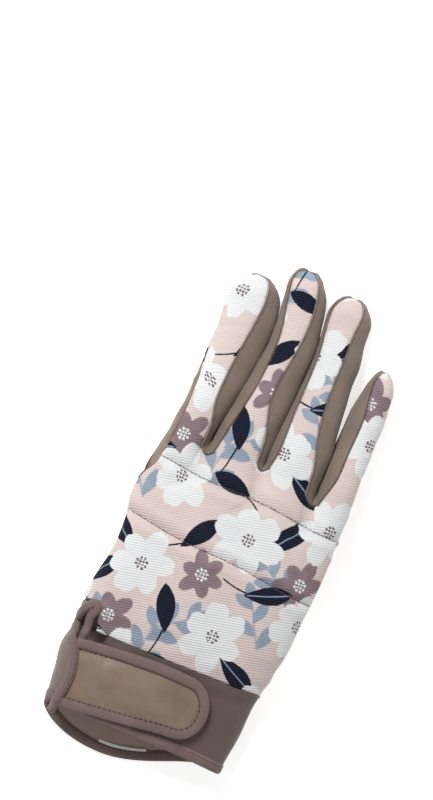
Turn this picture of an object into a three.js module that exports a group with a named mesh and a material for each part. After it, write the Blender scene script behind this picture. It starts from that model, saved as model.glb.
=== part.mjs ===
// A right-hand gardening glove with touch fingertips, lying empty on its palm with the thumb folded under.
// Millimetres. +Y runs from the cuff to the fingertips, +X to the little finger, +Z up out of the back.
import * as THREE from 'three';
import { mergeVertices } from 'three/addons/utils/BufferGeometryUtils.js';

// Driving dimensions
const palm_width = 88;
const hand_length = 92;
const hand_depth = 20;
const finger_depth = 14;
const thumb_depth = 10.2;
const index_length = 78;
const middle_length = 89;
const ring_length = 88;
const little_length = 66;
const web_slant = 14;
const cuff_width = 87;
const cuff_depth = 25;
const cuff_back_length = 35;
const cuff_palm_length = 50;
const fabric_wall = 1.2;
const cuff_wall = 1.6;
const piece_gap = 0.3;
const binding_width = 5;
const binding_swell = 0.5;
const strap_length = 61;
const strap_width = 31;
const strap_wall = 1.8;
const pad_thickness = 1.6;
const overlay_thickness = 0.9;
const touch_tip_length = 25;
const flex_fold_depth = 1.1;
const label_length = 20;
const label_width = 5;
const label_wall = 1;

const half_turn = 180;
const full_turn = 360;
const rad = THREE.MathUtils.degToRad;
const { lerp, smoothstep, clamp } = THREE.MathUtils;
const cuff_seam_y = -hand_length / 2;

// Reads a table of rows at a share along it, along a smooth curve through its rows.
function sample(table, column, along) {
  const last = table.length - 1;
  const t = clamp(along, table[0].along, table[last].along);
  let i = 0;
  while (i < last - 1 && t > table[i + 1].along) i += 1;
  const slope = (k) => {
    const a = table[Math.max(k - 1, 0)];
    const b = table[Math.min(k + 1, last)];
    return (b[column] - a[column]) / (b.along - a.along);
  };
  const span = table[i + 1].along - table[i].along;
  const s = (t - table[i].along) / span;
  const h = s * s * (3 - 2 * s);
  const rise = span * (slope(i) * s * (1 - s) * (1 - s) - slope(i + 1) * s * s * (1 - s));
  return lerp(table[i][column], table[i + 1][column], h) + rise;
}

// Rows of numbers under named columns.
function table(columns, rows) {
  return rows.map((row) => Object.fromEntries(columns.map((column, i) => [column, row[i]])));
}

// Sections of the hand: along from the cuff seam to the crotches, borders as shares of the palm width,
// lift as a share of the folded thumb's depth, and depth as a share of the hand's depth.
const hand_sections = [
  { along: 0.00, radial: -0.440, ulnar: 0.500, lift: 0.28, depth: 1.16 },
  { along: 0.11, radial: -0.442, ulnar: 0.522, lift: 0.60, depth: 1.13 },
  { along: 0.24, radial: -0.430, ulnar: 0.546, lift: 0.84, depth: 1.08 },
  { along: 0.39, radial: -0.426, ulnar: 0.554, lift: 1.04, depth: 1.02 },
  { along: 0.54, radial: -0.440, ulnar: 0.566, lift: 1.11, depth: 0.98 },
  { along: 0.66, radial: -0.460, ulnar: 0.571, lift: 1.11, depth: 0.93 },
  { along: 0.78, radial: -0.446, ulnar: 0.568, lift: 1.11, depth: 0.88 },
  { along: 0.90, radial: -0.425, ulnar: 0.572, lift: 1.11, depth: 0.81 },
  { along: 1.00, radial: -0.407, ulnar: 0.573, lift: 1.11, depth: 0.75 },
  { along: 1.20, radial: -0.386, ulnar: 0.568, lift: 1.08, depth: 0.68 },
];
const border_level = 0.4;
const back_roundness = 0.75;
const palm_roundness = 0.5;

// Height of the surface over the border line at an angle: 0 at the thumb border, 90 on the back,
// 180 at the little-finger border and 270 in the palm.
function section(angle, left, right, floor, depth, inset) {
  const centre = (left + right) / 2;
  const half = (right - left) / 2 - inset;
  const s = Math.sin(rad(angle));
  const up = depth * (1 - border_level) - inset;
  const down = depth * border_level - inset;
  const rise = s >= 0 ? up * s ** back_roundness : -down * Math.abs(s) ** palm_roundness;
  return { x: centre - half * Math.cos(rad(angle)), z: floor + depth * border_level + rise };
}

// The two sewn flex lines across the back, each a shallow valley.
const flex_folds = [
  { along: 0.85, tilt: -0.07, reach: 5 },
  { along: 0.54, tilt: -0.10, reach: 6 },
];

function foldDrop(x, y) {
  let drop = 0;
  for (const fold of flex_folds) {
    const line = cuff_seam_y + hand_length * fold.along + fold.tilt * x;
    drop += flex_fold_depth * Math.exp(-(((y - line) / fold.reach) ** 2) * 2);
  }
  return drop;
}

function handPoint(angle, y, inset) {
  const along = (y - cuff_seam_y) / hand_length;
  const at = (column) => sample(hand_sections, column, along);
  const p = section(angle, at('radial') * palm_width, at('ulnar') * palm_width,
    at('lift') * thumb_depth, at('depth') * hand_depth, inset);
  const top = Math.max(0, Math.sin(rad(angle)));
  return new THREE.Vector3(p.x, y, p.z - foldDrop(p.x, y) * top);
}

// Sections of the fingers: edges as shares of the palm width, lift and depth as on the hand.
// Each finger starts at its own crotch line on the back; a seam angle of the back panel and one of the
// palm panel bound the gusset on each side.
const index = {
  length: index_length,
  base: 1.00,
  seams: { back: [20, 103], palm: [206, 380] },
  sections: [
    { along: 0.00, radial: -0.406, ulnar: -0.204, lift: 1.11, depth: 1.00 },
    { along: 0.22, radial: -0.384, ulnar: -0.172, lift: 1.08, depth: 0.98 },
    { along: 0.44, radial: -0.380, ulnar: -0.136, lift: 0.72, depth: 0.95 },
    { along: 0.66, radial: -0.377, ulnar: -0.114, lift: 0.38, depth: 0.90 },
    { along: 0.84, radial: -0.388, ulnar: -0.120, lift: 0.20, depth: 0.84 },
    { along: 1.00, radial: -0.398, ulnar: -0.150, lift: 0.16, depth: 0.78 },
  ],
};
const middle = {
  length: middle_length,
  base: 0.985,
  seams: { back: [36, 116], palm: [206, 336] },
  sections: [
    { along: 0.00, radial: -0.192, ulnar: 0.092, lift: 1.11, depth: 1.00 },
    { along: 0.22, radial: -0.158, ulnar: 0.093, lift: 1.09, depth: 0.98 },
    { along: 0.44, radial: -0.122, ulnar: 0.104, lift: 0.74, depth: 0.94 },
    { along: 0.66, radial: -0.102, ulnar: 0.110, lift: 0.40, depth: 0.90 },
    { along: 0.84, radial: -0.128, ulnar: 0.090, lift: 0.20, depth: 0.84 },
    { along: 1.00, radial: -0.158, ulnar: 0.050, lift: 0.16, depth: 0.78 },
  ],
};
const ring = {
  length: ring_length,
  base: 0.955,
  seams: { back: [28, 113], palm: [206, 336] },
  sections: [
    { along: 0.00, radial: 0.102, ulnar: 0.378, lift: 1.11, depth: 0.98 },
    { along: 0.22, radial: 0.104, ulnar: 0.378, lift: 1.09, depth: 0.95 },
    { along: 0.44, radial: 0.122, ulnar: 0.358, lift: 0.74, depth: 0.91 },
    { along: 0.66, radial: 0.130, ulnar: 0.346, lift: 0.40, depth: 0.88 },
    { along: 0.84, radial: 0.108, ulnar: 0.334, lift: 0.20, depth: 0.82 },
    { along: 1.00, radial: 0.098, ulnar: 0.312, lift: 0.16, depth: 0.78 },
  ],
};
const little = {
  length: little_length,
  base: 0.925,
  seams: { back: [62, 206], palm: [206, 336] },
  sections: [
    { along: 0.00, radial: 0.392, ulnar: 0.573, lift: 1.08, depth: 0.90 },
    { along: 0.22, radial: 0.390, ulnar: 0.565, lift: 1.00, depth: 0.88 },
    { along: 0.44, radial: 0.392, ulnar: 0.566, lift: 0.70, depth: 0.86 },
    { along: 0.66, radial: 0.400, ulnar: 0.568, lift: 0.40, depth: 0.82 },
    { along: 0.84, radial: 0.410, ulnar: 0.558, lift: 0.22, depth: 0.78 },
    { along: 1.00, radial: 0.422, ulnar: 0.548, lift: 0.18, depth: 0.72 },
  ],
};
const fingers = [index, middle, ring, little];
const tip_radius = 11;
const tip_width_share = 0.42;
const tip_depth_share = 0.36;

function backBase(finger) {
  return cuff_seam_y + finger.base * hand_length;
}

// Where a finger's first ring stands at an angle: on the crotch line of the back, slanting towards the
// tips down its sides to the crotch line of the palm. The outer fingers have no gusset on their free
// side, and slant over its last degrees.
const free_side_turn = 80;
const free_back_turn = 20;

function baseY(finger, angle) {
  const turn = angle > half_turn + half_turn / 2 ? angle - full_turn : angle;
  const { back, palm } = finger.seams;
  const palm_turn = palm[1] - full_turn;
  let slant = 0;
  if (turn > half_turn / 2 && palm[0] > back[1]) slant = (turn - back[1]) / (palm[0] - back[1]);
  else if (turn > half_turn / 2) slant = smoothstep(turn, back[1] - free_back_turn, back[1]);
  else if (back[0] > palm_turn) slant = (turn - back[0]) / (palm_turn - back[0]);
  else slant = smoothstep(-turn, -back[0], free_side_turn - back[0]);
  return backBase(finger) + web_slant * clamp(slant, 0, 1);
}

function fingerPoint(finger, angle, along, inset) {
  const tip = backBase(finger) + finger.length;
  const y = lerp(baseY(finger, angle), tip, along);
  const share = (y - backBase(finger)) / finger.length;
  const at = (column) => sample(finger.sections, column, share);
  const past = clamp((y - tip + tip_radius) / tip_radius, 0, 1);
  const round = Math.sqrt(Math.max(0, 1 - past * past));
  const narrow = lerp(tip_width_share, 1, round);
  const thin = lerp(tip_depth_share, 1, round);
  const centre = (at('radial') + at('ulnar')) * palm_width / 2;
  const half = (at('ulnar') - at('radial')) * palm_width / 2 * narrow;
  const depth = at('depth') * finger_depth * thin;
  const floor = at('lift') * thumb_depth + at('depth') * finger_depth * (1 - thin) * border_level;
  const shut = inset > 0 ? Math.min(inset, depth * border_level - piece_gap / 2) : inset;
  const p = section(angle, centre - half, centre + half, floor, depth, shut);
  return new THREE.Vector3(p.x, y, p.z);
}

// Closes a set of patches that share their borders into one solid wall. Each patch is a grid of outer
// points with the grid of inner points behind it.
function wall(patches) {
  const found = new Map();
  const outer = [];
  const inner = [];
  const faces = [];
  const place = (p, q) => {
    const key = [p.x, p.y, p.z].map((value) => value.toFixed(2)).join();
    if (!found.has(key)) {
      found.set(key, outer.length);
      outer.push(p);
      inner.push(q);
    }
    return found.get(key);
  };
  for (const patch of patches) {
    for (let i = 0; i + 1 < patch.outer.length; i += 1) {
      for (let j = 0; j + 1 < patch.outer[i].length; j += 1) {
        const corner = (m, n) => place(patch.outer[m][n], patch.inner[m][n]);
        const [a, b, c, d] = [corner(i, j), corner(i, j + 1), corner(i + 1, j + 1), corner(i + 1, j)];
        faces.push([a, b, c], [a, c, d]);
      }
    }
  }
  const sound = faces.filter(([a, b, c]) => a !== b && b !== c && c !== a);
  const edges = new Set(sound.flatMap(([a, b, c]) => [`${a}_${b}`, `${b}_${c}`, `${c}_${a}`]));
  const count = outer.length;
  const triangles = [];
  for (const [a, b, c] of sound) {
    triangles.push(a, b, c, count + a, count + c, count + b);
    for (const [m, n] of [[a, b], [b, c], [c, a]]) {
      if (!edges.has(`${n}_${m}`)) triangles.push(n, m, count + m, n, count + m, count + n);
    }
  }
  const points = [...outer, ...inner];
  let volume = 0;
  for (let k = 0; k < triangles.length; k += 3) {
    const [p, q, r] = [points[triangles[k]], points[triangles[k + 1]], points[triangles[k + 2]]];
    volume += p.dot(new THREE.Vector3().crossVectors(q, r));
  }
  if (volume < 0) triangles.reverse();
  const geometry = new THREE.BufferGeometry();
  geometry.setAttribute('position', new THREE.Float32BufferAttribute(points.flatMap((p) => p.toArray()), 3));
  geometry.setIndex(triangles);
  return mergeVertices(geometry, 1e-4);
}

// A patch from a surface that takes two positions and an inset.
function patch(rows, columns, surface, outside, inside) {
  const grid = (inset) => rows.map((row) => columns.map((column) => surface(row, column, inset)));
  return { outer: grid(outside), inner: grid(inside) };
}

function steps(first, last, count) {
  return Array.from({ length: count + 1 }, (_, i) => lerp(first, last, i / count));
}

const across = steps(0, 1, 6);
const finger_rows = [0, 0.14, 0.29, 0.44, 0.59, 0.73, 0.85, 0.92, 0.97, 1];
const hand_rows = [0, 0.07, 0.125, 0.155, 0.22, 0.31, 0.4, 0.49, 0.54, 0.59, 0.66, 0.73, 0.8, 0.85, 0.9, 1];
const column_blend_start = 0.35;
const base_blend_start = 0.7;
const seam_turn = 1.1;
const web_overlap = 0.2;

const index_wrap_turn = -52;
const index_wrap = { start: 0.3, end: 0.46 };

// The index finger's back panel wraps round its free side past the leather reinforcement.
function indexSeam(along) {
  return lerp(index.seams.back[0], index_wrap_turn, smoothstep(along, index_wrap.start, index_wrap.end));
}

function backSpan(finger, along) {
  const first = finger === index ? indexSeam(along) : finger.seams.back[0];
  return [first, finger.seams.back[1]];
}

function palmSpan(finger, along) {
  const last = finger === index ? indexSeam(along) + full_turn : finger.seams.palm[1];
  return [finger.seams.palm[0] + seam_turn, last - seam_turn];
}

function fingerPatch(finger, span, rows, outside, inside) {
  const surface = (along, share, inset) => {
    const [first, last] = span(finger, along);
    return fingerPoint(finger, lerp(first, last, share), along, inset);
  };
  return patch(rows, across, surface, outside, inside);
}

// Sections of the thumb, folded under the palm: its left and right edges in plan as shares of the palm
// width and the hand length, the height of its upper side, and the edge of the thumb hole.
const thumb_sections = table(
  ['along', 'left_x', 'left_y', 'right_x', 'right_y', 'top', 'hole_x', 'hole_y'],
  [
    [0.00, -0.430, 0.008, -0.085, 0.008, 0.20, -0.15, 0.008],
    [0.09, -0.438, 0.120, -0.118, 0.110, 0.48, -0.19, 0.110],
    [0.19, -0.428, 0.300, -0.130, 0.225, 0.74, -0.22, 0.235],
    [0.29, -0.428, 0.480, -0.060, 0.350, 0.94, -0.24, 0.390],
    [0.39, -0.445, 0.630, 0.015, 0.480, 1.00, -0.28, 0.530],
    [0.48, -0.400, 0.700, 0.080, 0.590, 1.00, -0.36, 0.690],
    [0.58, -0.225, 0.785, 0.165, 0.730, 1.00, -0.225, 0.785],
    [0.69, -0.160, 0.895, 0.235, 0.830, 1.00, -0.160, 0.895],
    [0.80, -0.085, 0.990, 0.290, 0.935, 0.98, -0.085, 0.990],
    [0.89, -0.010, 1.055, 0.312, 1.055, 0.95, -0.010, 1.055],
    [0.96, 0.065, 1.125, 0.290, 1.140, 0.88, 0.065, 1.125],
    [1.00, 0.125, 1.180, 0.225, 1.190, 0.62, 0.125, 1.180],
  ],
);
const thumb_crotch = 0.58;
const thumb_edge_level = 0.5;
const thumb_flat_share = 0.62;
const thumb_seam = piece_gap * 0.8;
const most_inset = 0.4;

function thumbEdge(along, name) {
  const x = sample(thumb_sections, `${name}_x`, along) * palm_width;
  const y = sample(thumb_sections, `${name}_y`, along) * hand_length + cuff_seam_y;
  return new THREE.Vector3(x, y, 0);
}

// How far the profile of the folded thumb falls from its edges to its flat middle.
function flatProfile(share) {
  const off = Math.max(0, Math.abs(2 * share - 1) - thumb_flat_share) / (1 - thumb_flat_share);
  return Math.sqrt(Math.max(0, 1 - off * off));
}

// A place on the thumb. Its lower sheet hangs from the hand's border as far as the thumb crotch, and its
// upper sheet starts at the edge of the thumb hole.
function thumbPoint(along, share, inset, up) {
  const left = thumbEdge(along, up ? 'hole' : 'left');
  const right = thumbEdge(along, 'right');
  const top = sample(thumb_sections, 'top', along) * thumb_depth;
  const rooted = 1 - smoothstep(along, thumb_crotch - 0.16, thumb_crotch - 0.02);
  const free_edge = top * thumb_edge_level;
  const border = handPoint(wrap_turn - seam_turn, left.y, inset);
  const root_edge = up ? top : border.z;
  const run = new THREE.Vector3().subVectors(right, left);
  const narrow = Math.min(inset / run.length(), most_inset);
  const p = left.clone().addScaledVector(run, lerp(narrow, 1 - narrow, share));
  if (!up) p.x += (border.x - left.x - inset) * rooted * (1 - share) ** 4;
  const edge = share < 0.5 ? lerp(free_edge, root_edge, rooted) : free_edge;
  const keep = Math.min(inset, top * thumb_edge_level - piece_gap);
  const profile = flatProfile(share);
  if (up) return p.setZ(lerp(edge + thumb_seam, top, profile) - keep * profile);
  return p.setZ(lerp(edge - thumb_seam, 0, profile) + keep * profile);
}

// Where the thumb hole ends on the palm: the palm panel's angle at a place along the hand.
function holeX(y) {
  const edge = thumb_sections.filter((row) => row.along < thumb_crotch);
  const rows = edge.map((row) => ({ along: row.hole_y, x: row.hole_x }));
  return sample(rows, 'x', (y - cuff_seam_y) / hand_length) * palm_width;
}

// The angle of a section, on its upper side, that stands at x.
function borderAngle(x, left, right) {
  return THREE.MathUtils.radToDeg(Math.acos(clamp((left + right - 2 * x) / (right - left), -1, 1)));
}

function sideAngle(x, y) {
  const along = (y - cuff_seam_y) / hand_length;
  const left = sample(hand_sections, 'radial', along) * palm_width;
  const right = sample(hand_sections, 'ulnar', along) * palm_width;
  return borderAngle(x, left, right);
}

const ulnar_seam = little.seams.back[1];
const slit_rise = 0.12;
const slit_blend = 0.03;
const slit_turn = 38;
const wrap_turn = -12;
const knit_turn = -28;
const knit_blend = 40;
const crotch_along = 0.7;
const crotch_blend = { before: 0.1, after: 0.04 };
const hole_blend = { before: 0.02, after: 0.06 };

// The back panel's border on the thumb side: round the slit, under the border beside the thumb, and on
// top of it beside the leather.
function backStart(along) {
  const slit = lerp(slit_turn, wrap_turn, smoothstep(along, slit_rise, slit_rise + slit_blend));
  const beside = smoothstep(along, crotch_along - crotch_blend.before, crotch_along + crotch_blend.after);
  return lerp(slit, index.seams.back[0], beside);
}

function palmEnd(along, y) {
  const border = full_turn + index.seams.back[0] - seam_turn;
  const hole = full_turn - sideAngle(holeX(y), y) - seam_turn;
  const past = smoothstep(along, crotch_along - hole_blend.before, crotch_along + hole_blend.after);
  return lerp(hole, border, past);
}

// A panel over the hand whose last row is the row of finger bases, with one cell across each crotch.
function handPatch(order, span, fingerSpan, base_of, outside, inside) {
  const columns = order.flatMap((finger) => across.map((share) => {
    const [first, last] = fingerSpan(finger, 0);
    return { finger, angle: lerp(first, last, share) };
  }));
  const edges = columns.map(({ finger, angle }) => base_of(fingerPoint(finger, angle, 0, 0), angle, finger));
  const last_column = columns.length - 1;
  const grid = (inset) => hand_rows.map((row) => columns.map((column, j) => {
    const goal = fingerPoint(column.finger, column.angle, 0, inset);
    const y = lerp(cuff_seam_y + piece_gap, goal.y, row);
    const [first, last] = span((y - cuff_seam_y) / hand_length, y);
    const placed = (edges[j] - edges[0]) / (edges[last_column] - edges[0]);
    const share = lerp(j / last_column, placed, smoothstep(row, column_blend_start, 1));
    const p = handPoint(lerp(first, last, share), y, inset);
    const q = handPoint(edges[j], goal.y, inset);
    return p.addScaledVector(goal.clone().sub(q), smoothstep(row, base_blend_start, 1));
  }));
  return { outer: grid(outside), inner: grid(inside) };
}

// The angle round the hand that a column of a finger's base runs down to: the hand's own borders keep
// theirs, and the columns between follow the finger's place across the hand.
function backAngle(goal, angle, finger) {
  const border = finger === index ? angle <= index.seams.back[0] : finger === little && angle > half_turn;
  return border ? angle : sideAngle(goal.x, goal.y);
}

function palmAngle(goal, angle, finger) {
  const at_little = finger === little && angle < ulnar_seam + 2 * seam_turn;
  const border = finger === index ? angle > full_turn : at_little;
  return border ? angle : full_turn - sideAngle(goal.x, goal.y);
}

function backPanel() {
  const span = (along) => [backStart(along), ulnar_seam];
  const hand = handPatch(fingers, span, backSpan, backAngle, 0, fabric_wall);
  return [hand, ...fingers.map((finger) => fingerPatch(finger, backSpan, finger_rows, 0, fabric_wall))];
}

function palmPanel() {
  return [palmHand(), ...fingers.map((finger) => fingerPatch(finger, palmSpan, finger_rows, 0, fabric_wall))];
}

// A gusset runs down one finger's side, across the crotch and up the next finger.
function gusset(near, far) {
  const columns = steps(0, 1, 4);
  const down = [...finger_rows].reverse();
  const side = (finger, first, last) => (along, share, inset) => {
    const p = fingerPoint(finger, lerp(first, last, share), along, inset);
    const deep = along === 0 ? Math.sin(Math.PI * share) : 0;
    if (inset > 0) p.y -= inset * deep;
    return p;
  };
  const near_side = side(near, near.seams.back[1] + seam_turn, near.seams.palm[0]);
  const far_end = far.seams.palm[1] - full_turn + seam_turn * web_overlap;
  const far_side = side(far, far.seams.back[0] - seam_turn, far_end);
  const grid = (inset) => {
    const rows = down.map((along) => columns.map((share) => near_side(along, share, inset)));
    for (const step of [1 / 3, 2 / 3]) {
      rows.push(columns.map((share) => {
        const p = near_side(0, share, inset).lerp(far_side(0, share, inset), step);
        p.y += piece_gap;
        return p;
      }));
    }
    return [...rows, ...finger_rows.map((along) => columns.map((share) => far_side(along, share, inset)))];
  };
  return [{ outer: grid(0), inner: grid(fabric_wall) }];
}

// The cuff: a flattened tube from the cuff seam to a hem that reaches further on the palm side.
const cuff_sections = [
  { along: 0.0, radial: -0.480, ulnar: 0.505, depth: 1.00 },
  { along: 0.3, radial: -0.508, ulnar: 0.492, depth: 1.02 },
  { along: 0.6, radial: -0.494, ulnar: 0.482, depth: 1.00 },
  { along: 1.0, radial: -0.476, ulnar: 0.462, depth: 0.96 },
];
const hem_middle = 286;
const hem_reach = 62;

function bump(angle, middle, reach) {
  const off = Math.abs(((angle - middle + half_turn + full_turn) % full_turn) - half_turn) / reach;
  return off < 1 ? Math.cos(off * Math.PI / 2) ** 2 : 0;
}

const wrist_lift = 0.2;
const wrist_reach = 0.2;

function cuffLift(share) {
  return wrist_lift * thumb_depth * (1 - smoothstep(share, 0, wrist_reach)) + binding_swell;
}

function cuffPoint(angle, along, inset) {
  const turn = angle > half_turn ? angle - full_turn : angle;
  const climb = smoothstep(turn, knit_turn, knit_turn + knit_blend);
  const rise = turn > slit_turn ? 0 : slit_rise * hand_length * climb;
  const seam = cuff_seam_y - piece_gap + rise;
  const reach = lerp(cuff_back_length, cuff_palm_length, bump(angle, hem_middle, hem_reach));
  const y = lerp(seam, cuff_seam_y - reach, along);
  const share = clamp((cuff_seam_y - y) / cuff_back_length, 0, 1);
  const at = (column) => sample(cuff_sections, column, share);
  const p = section(angle, at('radial') * cuff_width, at('ulnar') * cuff_width, cuffLift(share),
    at('depth') * cuff_depth, inset);
  return new THREE.Vector3(p.x, y, p.z);
}

const cuff_rows = [0, 0.08, 0.18, 0.32, 0.48, 0.64, 0.8, 1];
const binding_share = binding_width / cuff_back_length;
const slit_back_turn = 52;
const slit_edge_turn = 393;
const slit_band_turn = 6;
const cuff_seam_turns = { wrist: 228, hem: 262 };
const hem_columns = 34;
const knit_columns = 20;
const back_columns = 24;

function cuffSeamAngle(along) {
  return lerp(cuff_seam_turns.wrist, cuff_seam_turns.hem, along);
}

function cuffAlong(row) {
  return row * (1 - binding_share - piece_gap / cuff_back_length);
}

function cuffPatch(first, last, count) {
  const surface = (row, share, inset) => {
    const along = cuffAlong(row);
    return cuffPoint(lerp(first(along), last(along), share), along, inset);
  };
  return [patch(cuff_rows, steps(0, 1, count), surface, 0, cuff_wall)];
}

function hemBinding() {
  const surface = (along, share, inset) => {
    return cuffPoint(lerp(slit_back_turn, slit_edge_turn, share), along, inset);
  };
  const rows = [1 - binding_share, 1 - binding_share / 2, 1];
  return [patch(rows, steps(0, 1, hem_columns), surface, -binding_swell, cuff_wall + binding_swell / 2)];
}

function slitBinding() {
  const first = slit_edge_turn - slit_band_turn;
  const surface = (row, share, inset) => {
    return cuffPoint(lerp(first, slit_edge_turn, share), cuffAlong(row), inset);
  };
  return [patch(cuff_rows, steps(0, 1, 2), surface, -binding_swell, cuff_wall + binding_swell / 2)];
}

// The strap's outline along its length: its middle line as a share of the cuff's length on the back, and
// half its width as a share of the whole.
const strap_sections = [
  { along: 0.00, middle: -0.571, half: 0.485 },
  { along: 0.25, middle: -0.520, half: 0.492 },
  { along: 0.50, middle: -0.480, half: 0.482 },
  { along: 0.75, middle: -0.457, half: 0.450 },
  { along: 1.00, middle: -0.474, half: 0.420 },
];
const strap_start = -0.402 * cuff_width;
const strap_round = 0.17;
const strap_blunt = 0.12;
const strap_flat = 0.02;
const strap_clearance = binding_swell + piece_gap;
const tongue_share = 0.9;
const tongue_margin = 0.005;

// A place on the strap: share of its length, share of its width, and how far it lies in from the edge.
function strapPoint(along, side, inset) {
  const x = strap_start + strap_length * along;
  const past = clamp((along - 1 + strap_round) / strap_round, 0, 1);
  const round = Math.sqrt(Math.max(strap_flat, 1 - past ** 2));
  const half = sample(strap_sections, 'half', along) * strap_width * lerp(strap_blunt, 1, round);
  const y = cuff_seam_y + sample(strap_sections, 'middle', along) * cuff_back_length + side * half;
  const share = clamp((cuff_seam_y - y) / cuff_back_length, 0, 1);
  const left = sample(cuff_sections, 'radial', share) * cuff_width;
  const right = sample(cuff_sections, 'ulnar', share) * cuff_width;
  const angle = borderAngle(x, left, right);
  const depth = sample(cuff_sections, 'depth', share) * cuff_depth;
  const p = section(angle, left, right, cuffLift(share), depth, 0);
  return new THREE.Vector3(x, y, p.z + strap_clearance - inset);
}

const strap_rows = [0, 0.12, 0.25, 0.38, 0.5, 0.62, 0.74, 0.83, 0.89, 0.94, 0.98, 1];

function strapTongue() {
  const edge = 1 - (binding_width + piece_gap) / (strap_width / 2);
  const surface = (row, share, inset) => strapPoint(row * tongue_share, lerp(-edge, edge, share), inset);
  return [patch(strap_rows, steps(0, 1, 6), surface, -strap_wall, 0)];
}

function strapBinding() {
  const inner = 1 - binding_width / (strap_width / 2);
  const reach = (row, share) => lerp(row, row * tongue_share + tongue_margin, share);
  const back = [...strap_rows].reverse();
  const path = [...strap_rows.map((row) => [row, 1]), ...back.map((row) => [row, -1])];
  const surface = ([row, side], share, inset) => {
    return strapPoint(reach(row, share), side * lerp(1, inner, share), inset);
  };
  return [patch(path, steps(0, 1, 2), surface, -strap_wall - binding_swell, 0)];
}

// Overlays lie on a panel with the usual gap, and are sewn round their edge on the real glove.
function overlay(rows, columns, surface, thickness) {
  return [patch(rows, columns, surface, -piece_gap - thickness, -piece_gap)];
}

const touch_tip_rows = [0, 0.2, 0.4, 0.6, 0.75, 0.86, 0.94];
const touch_tip_margin = 4;
const touch_tip_end = 330;

function touchTip(finger) {
  const first = 1 - touch_tip_length / (finger.length - web_slant);
  const [start, end] = palmSpan(finger, 1);
  const surface = (along, share, inset) => {
    const angle = lerp(start + touch_tip_margin, Math.min(end, touch_tip_end), share);
    return fingerPoint(finger, angle, along, inset);
  };
  const rows = touch_tip_rows.map((row) => lerp(first, 1, row));
  return overlay(rows, across, surface, overlay_thickness);
}

// The surface of a patch raised off it along its own normals.
function raised(grid, distance) {
  const at = (i, j) => grid[clamp(i, 0, grid.length - 1)][clamp(j, 0, grid[0].length - 1)];
  return grid.map((row, i) => row.map((p, j) => {
    const down = at(i + 1, j).clone().sub(at(i - 1, j));
    const over = at(i, j + 1).clone().sub(at(i, j - 1));
    return p.clone().addScaledVector(over.cross(down).normalize(), distance);
  }));
}

// A layer over the cells of a patch between two rows and two columns.
function layer(whole, rows, columns, thickness) {
  const span = (list, [first, last]) => list.slice(first, last + 1);
  const part = (grid) => span(grid, rows).map((row) => span(row, columns));
  return {
    outer: part(raised(whole.outer, piece_gap + thickness)),
    inner: part(raised(whole.outer, piece_gap)),
  };
}

function palmHand() {
  const span = (along, y) => [ulnar_seam + seam_turn, palmEnd(along, y)];
  return handPatch([...fingers].reverse(), span, palmSpan, palmAngle, 0, fabric_wall);
}

// The cells of the palm panel, by row and column, that each padded patch covers.
const pads = {
  upper: { rows: [10, 13], columns: [1, 8] },
  heel: { rows: [3, 8], columns: [3, 13] },
};

function palmPad({ rows, columns }) {
  return [layer(palmHand(), rows, columns, pad_thickness)];
}

// The leather that strengthens the side of the hand from the thumb crotch up the index finger.
const crotch_patch_rows = { hand: 4, finger: 3 };
const crotch_patch_columns = 3;

function crotchPatch() {
  const hand = palmHand().outer.map((row) => row.slice(-across.length));
  const finger = fingerPatch(index, palmSpan, finger_rows, 0, fabric_wall);
  const whole = { outer: [...hand, ...finger.outer.slice(1)] };
  const base = hand_rows.length - 1;
  const edge = across.length - 1;
  const rows = [base - crotch_patch_rows.hand, base + crotch_patch_rows.finger];
  return [layer(whole, rows, [edge - crotch_patch_columns, edge], overlay_thickness)];
}

const thumb_rows = [
  0, 0.05, 0.1, 0.16, 0.22, 0.29, 0.36, 0.43, 0.5, 0.58, 0.66, 0.74, 0.82, 0.89, 0.94, 0.98, 1,
];
const thumb_columns = [0, 0.03, 0.09, 0.19, 0.5, 0.81, 0.91, 0.97, 1];

function thumbPatch(up) {
  const surface = (along, share, inset) => thumbPoint(along, share, inset, up);
  return [patch(thumb_rows, thumb_columns, surface, 0, fabric_wall)];
}

const label_shift = 0.72;
const label_margin = 0.02;

function sizeLabel() {
  const turn = THREE.MathUtils.radToDeg(label_length / (cuff_width / 2));
  const first = hem_middle - turn * label_shift;
  const surface = (row, share, inset) => {
    const along = 1 - binding_share - label_margin - row * label_width / cuff_palm_length;
    return cuffPoint(first + turn * share, along, inset);
  };
  const inside = cuff_wall + piece_gap;
  return [patch([0, 1], steps(0, 1, 4), surface, inside, inside + label_wall)];
}

const print = { color: 0xe6d8d4, roughness: 0.85 };
const leather = { color: 0x8a7a70, roughness: 0.55 };
const elastic = { color: 0x8f8078, roughness: 0.8 };
const tape = { color: 0x7f6f68, roughness: 0.85 };
const smooth_knit = { color: 0x87776f, roughness: 0.75 };
const white = { color: 0xf2efec, roughness: 0.7 };

const knit_start = (along) => cuffSeamAngle(along) + seam_turn;
const knit_end = () => slit_edge_turn - slit_band_turn - seam_turn / 2;
const back_start = () => slit_back_turn;

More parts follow.
